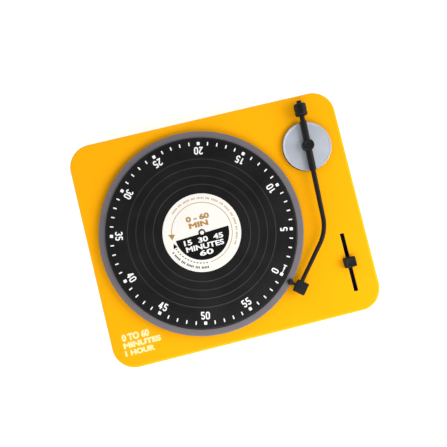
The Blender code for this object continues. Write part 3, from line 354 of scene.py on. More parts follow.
def lettering(body, size, place, bottom, depth=INK, bold=0.03):
    """A line of text in Blender's own font as a closed mesh, scaled to its (width, height),
    centred on place with its foot line along X. An outward bevel makes it bold."""
    text = bpy.data.curves.new("text", "FONT")
    text.body = body
    text.extrude = 0.5
    text.bevel_depth = bold
    text.bevel_resolution = 0
    text.resolution_u = 6
    holder = bpy.data.objects.new("text", text)
    bpy.context.scene.collection.objects.link(holder)
    graph = bpy.context.evaluated_depsgraph_get()
    mesh = bpy.data.meshes.new_from_object(holder.evaluated_get(graph))
    bpy.data.objects.remove(holder)
    bpy.data.curves.remove(text)
    mesh.materials.clear()
    points = np.empty(len(mesh.vertices) * 3, np.float32)
    mesh.vertices.foreach_get("co", points)
    points = points.reshape(-1, 3)
    low, high = points.min(0), points.max(0)
    points = (points - (low + high) / 2) * (np.array((*size, depth)) / (high - low))
    points += (*place, bottom + depth / 2)
    mesh.vertices.foreach_set("co", points.astype(np.float32).ravel())
    mesh.update()
    return merged(mesh)


def ellipse_arc(x, y, across, tall, start, end, steps=14):
    """Points of an ellipse about (x, y) from angle start to end in degrees,
    P(t) = (x + across cos t, y + tall sin t)."""
    t = np.radians(np.linspace(start, end, steps + 1))
    return np.stack([x + across * np.cos(t), y + tall * np.sin(t)], 1)


def figure_strokes(figure, half, tall):
    """Centre lines of a figure from 0 to 5, in a box that reaches `half` to each side and is
    `tall` high, as points and whether they close. The numbers are shares of the box."""
    top = tall / 2
    cap = 1.08 * half
    if figure == "0":
        upper = ellipse_arc(0, top - cap, half, cap, 0, 180)
        lower = ellipse_arc(0, cap - top, half, cap, 180, 360)
        return [(np.concatenate([upper, lower]), True)]
    if figure == "1":
        x = 0.3 * half
        flag = [(-0.75 * half, top - 0.2 * tall), (x, top - 0.03 * tall)]
        return [([(x, -top), (x, top)], False), (flag, False)]
    if figure == "2":
        hook = ellipse_arc(0, top - cap, half, cap, 165, -20)
        line = np.concatenate([hook, [(-0.82 * half, 0.02 * tall - top)]])
        return [(line, False), ([(-1.35 * half, -top), (1.25 * half, -top)], False)]
    if figure == "3":
        small, large = 0.235 * tall, 0.265 * tall
        upper = ellipse_arc(0, top - small, 0.94 * half, small, 165, -90)
        lower = ellipse_arc(0, large - top, half, large, 90, -165)
        return [(upper, False), (lower, False)]
    if figure == "4":
        x, bar = 0.4 * half, 0.26 * tall - top
        post = [(x, -1.12 * top), (x, 1.12 * top)]
        slope = [(-half, bar), (x - 0.1 * half, top)]
        return [(post, False), ([(-1.3 * half, bar), (1.3 * half, bar)], False), (slope, False)]
    x, bowl = -0.86 * half, 0.285 * tall
    roof = [(1.3 * x, top), (half, top)]
    belly = ellipse_arc(0, bowl - top, half, bowl, 138, -160)
    return [(roof, False), ([(x, top), (x, 0.02 * tall)], False), (belly, False)]


def stroke(points, closed, width, place, angle, bottom, top):
    """One pen stroke: a ribbon of constant width about a centre line, C(t) +- n(t) width / 2,
    where n is the line's normal. A closed line meets itself."""
    points = np.asarray(points, float)
    if closed:
        wrapped = np.concatenate([points[-2:-1], points[:-1], points[:1]])
        points, run = points[:-1], (wrapped[2:] - wrapped[:-2])
    else:
        run = np.gradient(points, axis=0)
    normal = np.stack([-run[:, 1], run[:, 0]], 1)
    normal *= width / 2 / np.linalg.norm(run, axis=1, keepdims=True)
    inner, outer = (placed(points + side * normal, angle, place) for side in (1, -1))
    return ribbon(inner, outer, bottom, top, closed)


def number(value, width, tall, pen, gap, place, angle, bottom, top):
    """A bold condensed number: its figures stand side by side, centred on place. Each further
    stroke of a figure is a little higher, so that no two faces lie in one plane."""
    made = []
    figures = str(value)
    for index, figure in enumerate(figures):
        spot = polar((index - (len(figures) - 1) / 2) * (width + gap), angle, place)
        strokes = figure_strokes(figure, (width - pen) / 2, tall - pen)
        for level, (points, closed) in enumerate(strokes):
            lift = level * 0.004 * MM
            made.append(stroke(points, closed, pen, spot, angle, bottom, top + lift))
    return made


# ---------------------------------------------------------------- finishes


def add_node(tree, kind, values=None, **settings):
    """Adds one shader node. settings are its own properties, and values go to its sockets by
    name: a number, a colour, or another node's output."""
    node = tree.nodes.new(kind)
    for key, value in settings.items():
        setattr(node, key, value)
    for key, value in (values or {}).items():
        if isinstance(value, bpy.types.NodeSocket):
            tree.links.new(value, node.inputs[key])
        else:
            node.inputs[key].default_value = value
    return node


def start_finish(name, sockets):
    """A new material with the shader's own sockets set. Returns it with its tree, its shader
    and the Object coordinates that its patterns read."""
    material = bpy.data.materials.new(name)
    material.use_nodes = True
    tree = material.node_tree
    shader = tree.nodes["Principled BSDF"]
    for key, value in sockets.items():
        shader.inputs[key].default_value = value
    where = add_node(tree, "ShaderNodeTexCoord").outputs["Object"]
    return material, tree, shader, where


def cloudiness(tree, where, size, low, high, detail=3.0):
    """A soft random pattern with features of this size in metres, between low and high."""
    noise = add_node(
        tree, "ShaderNodeTexNoise", {"Vector": where, "Scale": 1 / size, "Detail": detail}
    )
    values = {"Value": noise.outputs["Fac"], "From Min": 0.3, "From Max": 0.7}
    values |= {"To Min": low, "To Max": high}
    return add_node(tree, "ShaderNodeMapRange", values).outputs["Result"]


def vary_colour(tree, shader, colour, share):
    """Lets a pattern around 1.0 lighten and darken the base colour."""
    values = {"Color": (*colour, 1.0), "Value": share}
    node = add_node(tree, "ShaderNodeHueSaturation", values)
    tree.links.new(node.outputs["Color"], shader.inputs["Base Color"])


def raise_surface(tree, shader, height, distance, strength=1.0):
    """Lets a height pattern from 0 to 1 stand `distance` metres proud in the shading."""
    values = {"Height": height, "Distance": distance, "Strength": strength}
    node = add_node(tree, "ShaderNodeBump", values)
    tree.links.new(node.outputs["Normal"], shader.inputs["Normal"])


def radius_from(tree, where, centre):
    """Distance from the upright line through centre, which a Mapping node moves to zero."""
    values = {"Vector": where, "Location": (-centre[0], -centre[1], 0.0), "Scale": (1, 1, 0)}
    moved = add_node(tree, "ShaderNodeMapping", values).outputs["Vector"]
    return add_node(tree, "ShaderNodeVectorMath", {0: moved}, operation="LENGTH").outputs["Value"]


def moulded(name, colour, roughness, grain, depth, specular=0.5, mottle=0.03, tint=None):
    """Injection-moulded plastic: a nearly even colour with faint flow clouds a few centimetres
    across, a mould texture of `grain` metres that is `depth` deep, and gloss that wanders a
    little, as on a part that has been handled. A real mould's grain is finer than `grain`,
    which is as coarse as it has to be to show."""
    sockets = {"Roughness": roughness, "Specular IOR Level": specular}
    if tint:
        sockets["Specular Tint"] = (*tint, 1.0)
    material, tree, shader, where = start_finish(name, sockets)
    clouds = cloudiness(tree, where, 26 * MM, 1 - mottle, 1 + mottle)
    vary_colour(tree, shader, colour, clouds)
    gloss = cloudiness(tree, where, 7 * MM, roughness * 0.85, roughness * 1.2)
    tree.links.new(gloss, shader.inputs["Roughness"])
    raise_surface(tree, shader, cloudiness(tree, where, grain, 0, 1, 2.0), depth)
    return material


def spun(name, colour, roughness, centre, pitch, depth, metallic, flake=0.05):
    """Satin metallic paint on a turned disc: rings of tool marks `pitch` apart about its
    centre, which draw the light into a soft band, and a fine flake that sparkles."""
    sockets = {"Roughness": roughness, "Metallic": metallic}
    material, tree, shader, where = start_finish(name, sockets)
    flakes = cloudiness(tree, where, 0.35 * MM, 1 - flake, 1 + flake, 1.0)
    vary_colour(tree, shader, colour, flakes)
    radius = radius_from(tree, where, centre)
    turns = add_node(tree, "ShaderNodeMath", {0: radius, 1: 1 / pitch}, operation="MULTIPLY")
    lines = add_node(
        tree, "ShaderNodeTexNoise", {"W": turns.outputs[0], "Scale": 1.0}, noise_dimensions="1D"
    )
    raise_surface(tree, shader, lines.outputs["Fac"], depth)
    gloss = cloudiness(tree, where, 5 * MM, roughness * 0.88, roughness * 1.12)
    tree.links.new(gloss, shader.inputs["Roughness"])
    return material


def grooved(name, colour, line_sheen_colour, roughness, centre, lines, line_width):
    """Pressed black styrene: deep gloss black with fine rings, in which the raised lines
    between the tracks are painted a little greyer, a painted sheen for the light that their tops
    catch. The sheen's share is how near the distance from the centre is to one of the lines'
    radii."""
    sockets = {"Roughness": roughness, "Specular IOR Level": 0.22}
    material, tree, shader, where = start_finish(name, sockets)
    radius = radius_from(tree, where, centre)
    line_sheen_mask = None
    for line in lines:
        values = {0: radius, 1: line, 2: line_width}
        near = add_node(tree, "ShaderNodeMath", values, operation="COMPARE").outputs[0]
        if line_sheen_mask is None:
            line_sheen_mask = near
        else:
            line_sheen_mask = add_node(tree, "ShaderNodeMath", {0: line_sheen_mask, 1: near}).outputs[0]
    # painted sheen: near the raised lines the black turns to the lighter grey
    values = {"Factor": line_sheen_mask, "A": (*colour, 1.0), "B": (*line_sheen_colour, 1.0)}
    blend = tree.nodes.new("ShaderNodeMix")
    blend.data_type = "RGBA"
    tree.links.new(line_sheen_mask, blend.inputs[0])
    blend.inputs[6].default_value = values["A"]
    blend.inputs[7].default_value = values["B"]
    turns = add_node(tree, "ShaderNodeMath", {0: radius, 1: 1 / (0.3 * MM)}, operation="MULTIPLY")
    rings = add_node(
        tree, "ShaderNodeTexNoise", {"W": turns.outputs[0], "Scale": 1.0}, noise_dimensions="1D"
    )
    dust = cloudiness(tree, where, 9 * MM, 0.85, 1.15)
    values = {0: rings.outputs["Fac"], 1: 2.4, 2: -0.2}
    tracks = add_node(tree, "ShaderNodeMath", values, operation="MULTIPLY_ADD")
    worn = add_node(
        tree, "ShaderNodeMath", {0: tracks.outputs[0], 1: dust}, operation="MULTIPLY"
    )
    values = {"Color": blend.outputs[2], "Value": worn.outputs[0]}
    shade = add_node(tree, "ShaderNodeHueSaturation", values)
    tree.links.new(shade.outputs["Color"], shader.inputs["Base Color"])
    raise_surface(tree, shader, rings.outputs["Fac"], 0.006 * MM)
    gloss = cloudiness(tree, where, 12 * MM, roughness * 0.85, roughness * 1.25)
    tree.links.new(gloss, shader.inputs["Roughness"])
    return material


def printed(name, colour, roughness=0.45, specular=0.4):
    """Screen-printed ink: an even film with a slight tooth and pinhole-fine variation."""
    sockets = {"Roughness": roughness, "Specular IOR Level": specular}
    material, tree, shader, where = start_finish(name, sockets)
    vary_colour(tree, shader, colour, cloudiness(tree, where, 0.5 * MM, 0.96, 1.03))
    raise_surface(tree, shader, cloudiness(tree, where, 0.15 * MM, 0, 1, 1.0), 0.004 * MM)
    gloss = cloudiness(tree, where, 2 * MM, roughness * 0.9, roughness * 1.15)
    tree.links.new(gloss, shader.inputs["Roughness"])
    return material


def paper(name, colour):
    """Coated label paper: nearly white, with a fine fibre tooth and very slight toning."""
    material, tree, shader, where = start_finish(name, {"Roughness": 0.6})
    vary_colour(tree, shader, colour, cloudiness(tree, where, 6 * MM, 0.975, 1.01))
    raise_surface(tree, shader, cloudiness(tree, where, 0.12 * MM, 0, 1, 4.0), 0.006 * MM)
    return material


def metal(name, colour, roughness, grain, depth):
    """Plated or plain metal: fine rolling lines along X and a gloss that wanders, as plating
    on small stamped parts has."""
    sockets = {"Roughness": roughness, "Metallic": 1.0}
    material, tree, shader, where = start_finish(name, sockets)
    drawn = add_node(tree, "ShaderNodeMapping", {"Vector": where, "Scale": (0.08, 1.0, 1.0)})
    vary_colour(tree, shader, colour, cloudiness(tree, where, 4 * MM, 0.93, 1.05))
    lines = cloudiness(tree, drawn.outputs["Vector"], grain, 0, 1, 2.0)
    raise_surface(tree, shader, lines, depth)
    gloss = cloudiness(tree, where, 2.5 * MM, roughness * 0.8, roughness * 1.3)
    tree.links.new(gloss, shader.inputs["Roughness"])
    return material


def rubber(name, colour):
    """Moulded rubber: matte and soft, with a dusty bloom and a fine pebbled skin."""
    sockets = {"Roughness": 0.85, "Specular IOR Level": 0.3}
    material, tree, shader, where = start_finish(name, sockets)
    vary_colour(tree, shader, colour, cloudiness(tree, where, 3 * MM, 0.8, 1.3))
    raise_surface(tree, shader, cloudiness(tree, where, 0.25 * MM, 0, 1, 2.0), 0.02 * MM)
    return material


FINISHES = {}


def finish(name):
    """The named finish, made once from the colours of the property group."""
    if name in FINISHES:
        return FINISHES[name]
    colours = bpy.context.scene.timer_colours
    axis = middle_of("platter")
    arm = middle_of("arm_base")
    tracks = track_lines()
    makers = {
        # glossy, with sharp warm highlights along the rounded edges and hardly any clouds
        "moulded_yellow_abs": (
            moulded, colours.case, 0.22, 0.45 * MM, 0.004 * MM, 0.5, 0.02, (1.0, 0.7, 0.1)
        ),
        # satin grey, with rings that draw the light into a soft band
        "spun_grey_paint": (spun, colours.platter, 0.45, axis, 0.35 * MM, 0.01 * MM, 0.3),
        # dark and smooth, with bands of grooves and four lines between them in a lighter grey, a
        # painted sheen
        "pressed_black_styrene": (
            grooved, colours.record, colours.track, 0.34, axis, tracks, 0.18 * MM
        ),
        # nearly white and dull, with a fibre tooth
        "label_paper": (paper, colours.paper),
        # opaque inks; the black one hardly shines, the gold and cream ones a little
        "screened_white_ink": (printed, colours.figures),
        "offset_black_ink": (printed, colours.black_ink, 0.6, 0.12),
        "offset_gold_ink": (printed, colours.gold_ink, 0.4),
        "screened_cream_ink": (printed, colours.lettering, 0.4),
        # light silver with a fine flake and wider rings than the platter's
        "spun_silver_paint": (spun, colours.arm_disc, 0.42, arm, 0.5 * MM, 0.006 * MM, 0.5),
        # smooth satin black for the arm, a rough grained black for the cover
        "moulded_black_abs": (moulded, colours.arm, 0.5, 0.3 * MM, 0.004 * MM, 0.25, 0.1),
        "grained_black_abs": (moulded, colours.cover, 0.55, 0.6 * MM, 0.03 * MM, 0.4, 0.1),
        # milky white with a dull shine
        "moulded_white_acetal": (moulded, colours.acetal, 0.4, 0.5 * MM, 0.005 * MM, 0.4),
        # cold grey and warm yellow metal, both with fine rolling lines
        "zinc_steel": (metal, linear("#B9BBC0"), 0.3, 0.2 * MM, 0.004 * MM),
        "rolled_brass": (metal, linear("#C9A25A"), 0.28, 0.2 * MM, 0.003 * MM),
        # matte, with a dusty bloom
        "foot_rubber": (rubber, linear("#232223")),
    }
    maker, *given = makers[name]
    FINISHES[name] = maker(name, *given)
    return FINISHES[name]


def coat(nodes, name):
    """Gives CAD nodes that keep their shape a finish."""
    for node in nodes:
        slots = frame["nodes"][node].data.materials
        slots.clear()
        slots.append(finish(name))


# ---------------------------------------------------------------- properties


def length(name, default, description):
    """A length property in metres."""
    return bpy.props.FloatProperty(
        name=name, default=default, description=description, unit="LENGTH", precision=5, min=0
    )


def shade(name, code, description):
    """A colour property."""
    return bpy.props.FloatVectorProperty(
        name=name, default=linear(code), description=description, subtype="COLOR", min=0, max=1
    )


class TimerSizes(bpy.types.PropertyGroup):
    """Sizes that the frame's boxes don't give."""

    case_corner: length("Case corner", 10 * MM, "Radius of the case's corners seen from above")
    case_edge: length("Case edge", 1.2 * MM, "Rounding of the case's top edge")
    case_wall: length("Case wall", 2 * MM, "Thickness of the case")
    slot_width: length("Slot width", 1.8 * MM, "Width of the slider's slot")
    slot_length: length("Slot length", 25.9 * MM, "Length of the slider's slot")
    platter_lift: length("Platter lift", 0.6 * MM, "Gap between the case and the platter")
    platter_rim: length("Platter rim", 2.9 * MM, "Width of the platter's bare rim")
    platter_floor: length("Platter floor", 1.6 * MM, "Thickness under the record")
    platter_hub: length("Platter hub", 4.8 * MM, "Radius of the hub under the platter")
    track_first: length("First track line", 20.9 * MM, "Radius of the record's innermost line")
    track_step: length("Track step", 3.65 * MM, "Distance between the record's raised lines")
    figure_height: length("Figure height", 3.3 * MM, "Height of the minute figures")
    figure_radius: length("Figure radius", 35.45 * MM, "Distance of the figures from the middle")
    mark_radius: length("Mark radius", 38.6 * MM, "Distance of the minute marks from the middle")
    rear_radius: length("Rear tube radius", 1.5 * MM, "Radius of the arm's thick rear tube")
    rear_reach: length("Rear tube reach", 10.9 * MM, "Half length of the arm's rear tube")
    tube_radius: length("Arm tube radius", 1.1 * MM, "Radius of the arm tube at its thick end")
    tube_end: length("Arm tube end", 0.87 * MM, "Radius of the arm tube at the head")
    arm_reach: length("Arm reach", 38.1 * MM, "Distance from the arm's base to the bend's corner")
    arm_bend: length("Arm bend", 18 * MM, "Radius of the arm's bend")
    arm_stem: length("Arm stem radius", 1.5 * MM, "Radius of the stem that holds the arm")
    weight_radius: length("Weight radius", 2.7 * MM, "Radius of the counterweight")
    weight_start: length("Weight start", 13.35 * MM, "Distance of the counterweight's near face")
    weight_length: length("Weight length", 5.3 * MM, "Length of the counterweight")
    head_radius: length("Head distance", 48.7 * MM, "Distance of the head from the dial's middle")
    head_length: length("Head length", 5.5 * MM, "Length of the head")
    head_width: length("Head width", 5.2 * MM, "Width of the head")
    pad_distance: length("Pad distance", 43.65 * MM, "Distance of the pointer's pad")
    pad_angle: bpy.props.FloatProperty(
        name="Pad angle",
        default=math.radians(-42.9),
        description="Direction of the pointer's pad seen from the dial's middle",
        subtype="ANGLE",
    )
    arm_tilt: bpy.props.FloatProperty(
        name="Arm tilt",
        default=math.radians(2.4),
        description="Angle between the arm's straight part and the case's short side",
        subtype="ANGLE",
    )
    head_angle: bpy.props.FloatProperty(
        name="Head angle",
        default=math.radians(-42.7),
        description="Direction of the head seen from the dial's middle",
        subtype="ANGLE",
    )


class TimerColours(bpy.types.PropertyGroup):
    """Colours of the timer's finishes."""

    case: shade("Case", "#FCAD0D", "Yellow of the case")
    platter: shade("Platter", "#736E73", "Grey of the platter's rim")
    record: shade("Record", "#171617", "Black of the record")
    # painted sheen: the record's raised lines are coloured lighter than the record, for the light
    # they catch
    track: shade("Track lines", "#2E2D2E", "Grey of the lines between the record's tracks")
    paper: shade("Label", "#E6E4DD", "White of the centre label")
    figures: shade("Figures", "#EEEEEC", "White of the scale and its figures")
    black_ink: shade("Black ink", "#09090A", "Black of the label's print")
    gold_ink: shade("Gold ink", "#A98040", "Gold of the label's print")
    lettering: shade("Lettering", "#F7E4A4", "Cream of the lettering on the case")
    arm_disc: shade("Arm disc", "#C3C9D3", "Silver of the arm's round base")
    arm: shade("Arm", "#0C0A0A", "Black of the arm and the slider")
    cover: shade("Cover", "#1B1B1C", "Black of the bottom cover")
    acetal: shade("Acetal", "#E6E3DA", "White of the moulded gears")


# ---------------------------------------------------------------- pieces


def track_lines():
    """Radii of the four raised lines between the record's tracks."""
    sizes = bpy.context.scene.timer_sizes
    return [sizes.track_first + i * sizes.track_step for i in range(4)]


class TIMER_OT_case(bpy.types.Operator):
    """Makes the yellow housing"""

    bl_idname = "timer.case"
    bl_label = "Case"

    def execute(self, context):
        """The shell is one closed sheet. Its rows start at the slot's lower edge, rise through
        the slot, spread over the top, roll over the rounded edge, run down the wall, turn under
        and come back along the inside. Spreading rows are (1 - t) slot + t case outline."""
        sizes = context.scene.timer_sizes
        low, high = edges_of("top_housing")
        span = high - low
        wall, edge, foot = sizes.case_wall, sizes.case_edge, 0.3 * MM
        middle = np.append(middle_of("slider_track"), 0)[:2]
        lip = 0.15 * MM

        def outer(inset):
            return rounded_outline(
                span[0] - 2 * inset, span[1] - 2 * inset, sizes.case_corner - inset, 24, 12
            )

        def slot(spread):
            size = (sizes.slot_width + 2 * spread, sizes.slot_length + 2 * spread)
            return rounded_outline(*size, 0.1 * MM + spread, 24, 12) + middle

        rows = [(slot(0), high[2] - wall), (slot(0), high[2] - lip)]
        rows += [(slot(lip * 0.3), high[2] - lip * 0.3), (slot(lip), high[2])]
        rows.append((slot(2 * lip), high[2]))
        flat = edge + 0.1 * MM
        for share in (0.3, 0.6, 0.85):
            rows.append((slot(2 * lip) * (1 - share) + outer(flat) * share, high[2]))
        rows.append((outer(flat), high[2]))
        for angle in np.radians(np.linspace(0, 90, 11)):
            inset = edge * (1 - math.sin(angle))
            rows.append((outer(inset), high[2] - edge * (1 - math.cos(angle))))
        side = np.linspace(high[2] - edge - 0.1 * MM, low[2] + foot + 0.1 * MM, 6)
        rows += [(outer(0), z) for z in side]
        for angle in np.radians(np.linspace(0, 90, 5)):
            inset = foot * (1 - math.cos(angle))
            rows.append((outer(inset), low[2] + foot * (1 - math.sin(angle))))
        ceiling = high[2] - wall
        rows += [(outer(wall), low[2]), (outer(wall), ceiling)]
        for share in (0.6, 0.3):
            rows.append((slot(0) * (1 - share) + outer(wall) * share, ceiling))
        mesh = self.drilled(solid(level_rows(*zip(*rows)), ring=True), sizes, high[2])
        yellow = finish("moulded_yellow_abs")
        piece("case_shell", [mesh], yellow, "case", ["top_housing"])

        # painted shade: a thin black sheet lines the slot's walls and stands in for the dark
        # inside of the slot
        def liner(inset):
            size = (sizes.slot_width - 2 * inset, sizes.slot_length - 2 * inset)
            return rounded_outline(*size, 0.1 * MM, 4, 6) + middle

        thick, top = 0.12 * MM, high[2] - 0.1 * MM
        inside, outside = liner(0), liner(thick)
        rows = [(inside, ceiling), (inside, top), (outside, top), (outside, ceiling)]
        mesh = solid(level_rows(*zip(*rows)), ring=True)
        piece("slot_painted_shade", [mesh], finish("grained_black_abs"), "case")
        return {"FINISHED"}

    def drilled(self, shell, sizes, top):
        """Adds the screws' bosses under the top. Then cuts the screws' holes, the hole for the
        platter's hub, and the pocket and hole for the arm's disc and stem."""
        ceiling, above = top - sizes.case_wall, top + MM
        screws = (
            ("case_screw", 4, MM, edges_of("bottom_cover")[1][2], 2 * MM),
            ("movement_screw", 3, 0.9 * MM, edges_of("front_plate")[1][2], 0.3 * MM),
        )
        bosses, holes = [], []
        for name, count, radius, foot, room in screws:
            for number in range(1, count + 1):
                place, tip = middle_of(f"{name}_{number}"), edges_of(f"{name}_{number}")[1][2]
                bosses.append(rod(radius + 1.4 * MM, foot + 0.3 * MM, ceiling + 0.5 * MM, place))
                holes.append(rod(radius + 0.1 * MM, foot, tip + room, place))
        hub_hole = sizes.platter_hub + 0.4 * MM
        holes.append(rod(hub_hole, ceiling - MM, above, middle_of("platter"), 96))
        low, high = edges_of("arm_base")
        pocket, stem = (high[0] - low[0]) / 2 + 0.05 * MM, sizes.arm_stem + 0.05 * MM
        floor = low[2] - 0.3 * MM
        profile = [(0, above), (pocket, above), (pocket, floor), (stem, floor)]
        profile += [(stem, ceiling - MM), (0, ceiling - MM)]
        holes.append(turned(profile, middle_of("arm_base"), 160))
        shell = combined(shell, joined("bosses", bosses), "UNION")
        return combined(shell, joined("holes", holes), "DIFFERENCE")


class TIMER_OT_platter(bpy.types.Operator):
    """Makes the grey platter and its hub"""

    bl_idname = "timer.platter"
    bl_label = "Platter"

    def execute(self, context):
        """Turned profile: the floor under the record, up the inside of the rim, over its two
        rounded edges, down the outside and under to the hub."""
        sizes = context.scene.timer_sizes
        low, high = edges_of("platter")
        radius = radius_of("platter")
        bottom = edges_of("top_housing")[1][2] + sizes.platter_lift
        floor = bottom + sizes.platter_floor
        rim = radius - sizes.platter_rim
        round_in, round_out = 0.15 * MM, 0.45 * MM
        bore = (edges_of("main_arbor")[1][0] - edges_of("main_arbor")[0][0]) / 2 + 0.05 * MM
        bore_top = bottom + sizes.platter_floor / 2
        profile = [(0, floor), (rim, floor)]
        profile += list(fillet((rim + round_in, high[2] - round_in), round_in, 180, 90, 4))
        profile += list(fillet((radius - round_out, high[2] - round_out), round_out, 90, 0, 8))
        profile += list(fillet((radius - round_in, bottom + round_in), round_in, 0, -90, 4))
        profile += [(sizes.platter_hub, bottom), (sizes.platter_hub, low[2])]
        profile += [(bore, low[2]), (bore, bore_top), (0, bore_top)]
        mesh = turned(profile, middle_of("platter"), 192)
        paint = finish("spun_grey_paint")
        piece("platter_plate", [mesh], paint, "dial", ["platter"])
        return {"FINISHED"}


class TIMER_OT_record(bpy.types.Operator):
    """Makes the grooved record"""

    bl_idname = "timer.record"
    bl_label = "Record"

    def execute(self, context):
        """Turned profile whose top is h(r) = groove depth . cos(2 pi r / pitch) where tracks
        are cut, plus a smooth hump at each of the four raised lines. The grooves of a real record
        are about 0.1 mm apart. These are 0.51 mm apart, so that they show."""
        low, high = edges_of("record_disc")
        radius = radius_of("record_disc")
        pocket = radius_of("centre_label") + 0.1 * MM
        pocket_floor = edges_of("centre_label")[0][2] - 0.1 * MM
        lines = np.array(track_lines())
        first, last = lines[0] - 2.6 * MM, lines[-1] + 1.4 * MM
        r = np.arange(first, last, 0.085 * MM)
        fade = np.clip(np.minimum(r - first, last - r) / (0.5 * MM), 0, 1)
        rise = 0.05 * MM
        hump = np.exp(-(((r[:, None] - lines) / (0.26 * MM)) ** 2)).sum(1)
        ripple = 0.004 * MM * (np.cos(r / (0.51 * MM) * math.tau) - 1) * fade
        top = high[2] - rise + rise * hump + ripple * (1 - np.clip(hump, 0, 1))
        level = high[2] - rise
        hole = 1.3 * MM
        edge = 0.35 * MM
        profile = [(hole, pocket_floor), (pocket, pocket_floor), (pocket, level - 0.03 * MM)]
        profile += [(pocket + 0.03 * MM, level), (first - 0.2 * MM, level)]
        profile += list(zip(r, top)) + [(last + 0.2 * MM, level)]
        profile += list(fillet((radius - edge, level - edge), edge, 90, 0, 6))
        profile += list(fillet((radius - 0.2 * MM, low[2] + 0.2 * MM), 0.2 * MM, 0, -90, 3))
        profile += [(hole, low[2])]
        mesh = turned(profile, middle_of("platter"), 192)
        styrene = finish("pressed_black_styrene")
        piece("groove_record", [mesh], styrene, "dial", ["record_disc"])
        return {"FINISHED"}


class TIMER_OT_scale(bpy.types.Operator):
    """Prints the minute marks and figures on the record"""

    bl_idname = "timer.scale"
    bl_label = "Minute scale"

    def execute(self, context):
        """A mark every 6 degrees: a square at each fifth, a bar at the others. Zero is tied to
        the first minute by a line. The figures' tops face the middle."""
        sizes = context.scene.timer_sizes
        axis = middle_of("platter")
        bottom = edges_of("record_disc")[1][2] - 0.06 * MM
        top = bottom + 0.06 * MM + INK
        marks = []
        for minute in range(60):
            angle = ZERO + minute * MINUTE
            place = polar(sizes.mark_radius, angle, axis)
            if minute % 5 == 0:
                marks.append(mark(1.38 * MM, 1.32 * MM, place, angle, bottom, top, 6.0))
            else:
                width = 0.44 * MM if minute == 1 else 0.54 * MM
                marks.append(mark(1.58 * MM, width, place, angle, bottom, top, 4.0))
        thin = arc_ribbon(
            sizes.mark_radius, 0.34 * MM, ZERO, ZERO + MINUTE, axis, bottom, top - 0.01 * MM
        )
        stout = arc_ribbon(
            sizes.mark_radius,
            0.6 * MM,
            ZERO + 0.55 * MINUTE,
            ZERO + 0.86 * MINUTE,
            axis,
            bottom,
            top - 0.005 * MM,
        )
        marks += [thin, stout]
        piece("minute_marks", marks, finish("screened_white_ink"), "dial")
        figures = []
        for minute in range(0, 60, 5):
            angle = ZERO + minute * MINUTE
            place = polar(sizes.figure_radius, angle, axis)
            size = (1.82 * MM, sizes.figure_height, 0.54 * MM, 0.25 * MM)
            figures += number(minute, *size, place, angle + math.pi / 2, bottom, top)
        white = finish("screened_white_ink")
        piece("minute_figures", figures, white, "dial")
        return {"FINISHED"}


class TIMER_OT_label(bpy.types.Operator):
    """Makes the printed centre label and the spindle's tip"""

    bl_idname = "timer.label"
    bl_label = "Centre label"

    def execute(self, context):
        """A thin turned ring of paper carries flat printed shapes: a half disc, two arcs that
        end in arrowheads, rings of fine dashes, and plain numbers."""
        axis = middle_of("platter")
        low, high = edges_of("centre_label")
        radius = radius_of("centre_label")
        face = high[2] - INK
        hole, edge = 1.3 * MM, 0.05 * MM
        profile = [(hole, low[2]), (radius, low[2])]
        profile += list(fillet((radius - edge, face - edge), edge, 0, 90, 3))
        profile += [(hole, face)]
        mesh = turned(profile, axis, 128)
        paper_finish = finish("label_paper")
        piece("paper_label", [mesh], paper_finish, "dial", ["centre_label"])

        under, ink = face - 0.02 * MM, face + 0.6 * INK
        tilt = math.radians(3)
        half_radius, drop = 11.75 * MM, 0.3 * MM
        dip = math.asin(drop / half_radius)
        arc = arc_line(half_radius, math.pi + dip + tilt, math.tau - dip + tilt, axis)
        share = np.linspace(0, 1, len(arc))[:, None]
        chord = arc[:1] * (1 - share) + arc[-1:] * share
        gap = 1.32 * MM
        away = chord - axis
        near = np.linalg.norm(away, axis=1, keepdims=True)
        chord = np.where(near < gap, axis + away / near * gap, chord)
        black = [ribbon(chord, arc, under, ink)]
        ring = 13.05 * MM
        black += dots(ring, math.radians(266), math.radians(200), 1.25 * MM, axis, under, ink)
        tail, tip = math.radians(197), math.radians(187.5)
        black.append(arrowhead(ring, tail, tip, 1.0 * MM, axis, under, ink))
        bore, rim = 1.31 * MM, 1.57 * MM
        black.append(turned([(bore, under), (rim, under), (rim, ink), (bore, ink)], axis, 64))
        black += dashes(15.0 * MM, math.radians(267), math.radians(202), axis, under, ink, 1.2)
        piece("label_black_print", black, finish("offset_black_ink"), "dial")

        tail, tip = math.radians(-87), math.radians(171)
        gold = [arc_ribbon(ring, 0.26 * MM, tail, tip, axis, under, ink)]
        tail, tip = math.radians(170.5), math.radians(181)
        gold.append(arrowhead(ring, tail, tip, 1.5 * MM, axis, under, ink))
        gold += dashes(15.0 * MM, math.radians(133), math.radians(-35), axis, under, ink)
        depth = ink - under
        place = axis + (-0.4 * MM, 6.8 * MM)
        gold.append(lettering("0 - 60", (10.2 * MM, 2.5 * MM), place, under, depth, 0.05))
        place = axis + (-0.6 * MM, 3.8 * MM)
        gold.append(lettering("MIN", (8.4 * MM, 2.4 * MM), place, under, depth, 0.05))
        piece("label_gold_print", gold, finish("offset_gold_ink"), "dial")

        over = ink + 0.01 * MM
        white = []
        lines = (("15  30  45", 17.2, -2.9), ("MINUTES", 16.6, -5.8), ("60", 6.0, -8.6))
        for body, width, height in lines:
            place = axis + (0, height * MM)
            size = (width * MM, 2.3 * MM)
            foot = ink - INK / 2
            white.append(lettering(body, size, place, foot, over - ink + INK / 2))
        white_ink = finish("screened_white_ink")
        piece("label_white_print", white, white_ink, "dial")

        low, high = edges_of("spindle_pin")
        pin = radius_of("spindle_pin")
        dome = 0.32 * MM
        profile = [(0, high[2])] + list(fillet((pin - dome, high[2] - dome), dome, 90, 0, 6))
        profile += [(pin, low[2]), (0, low[2])]
        mesh = turned(profile, axis, 48)
        acetal = finish("moulded_white_acetal")
        piece("spindle_tip", [mesh], acetal, "dial", ["spindle_pin"])
        return {"FINISHED"}


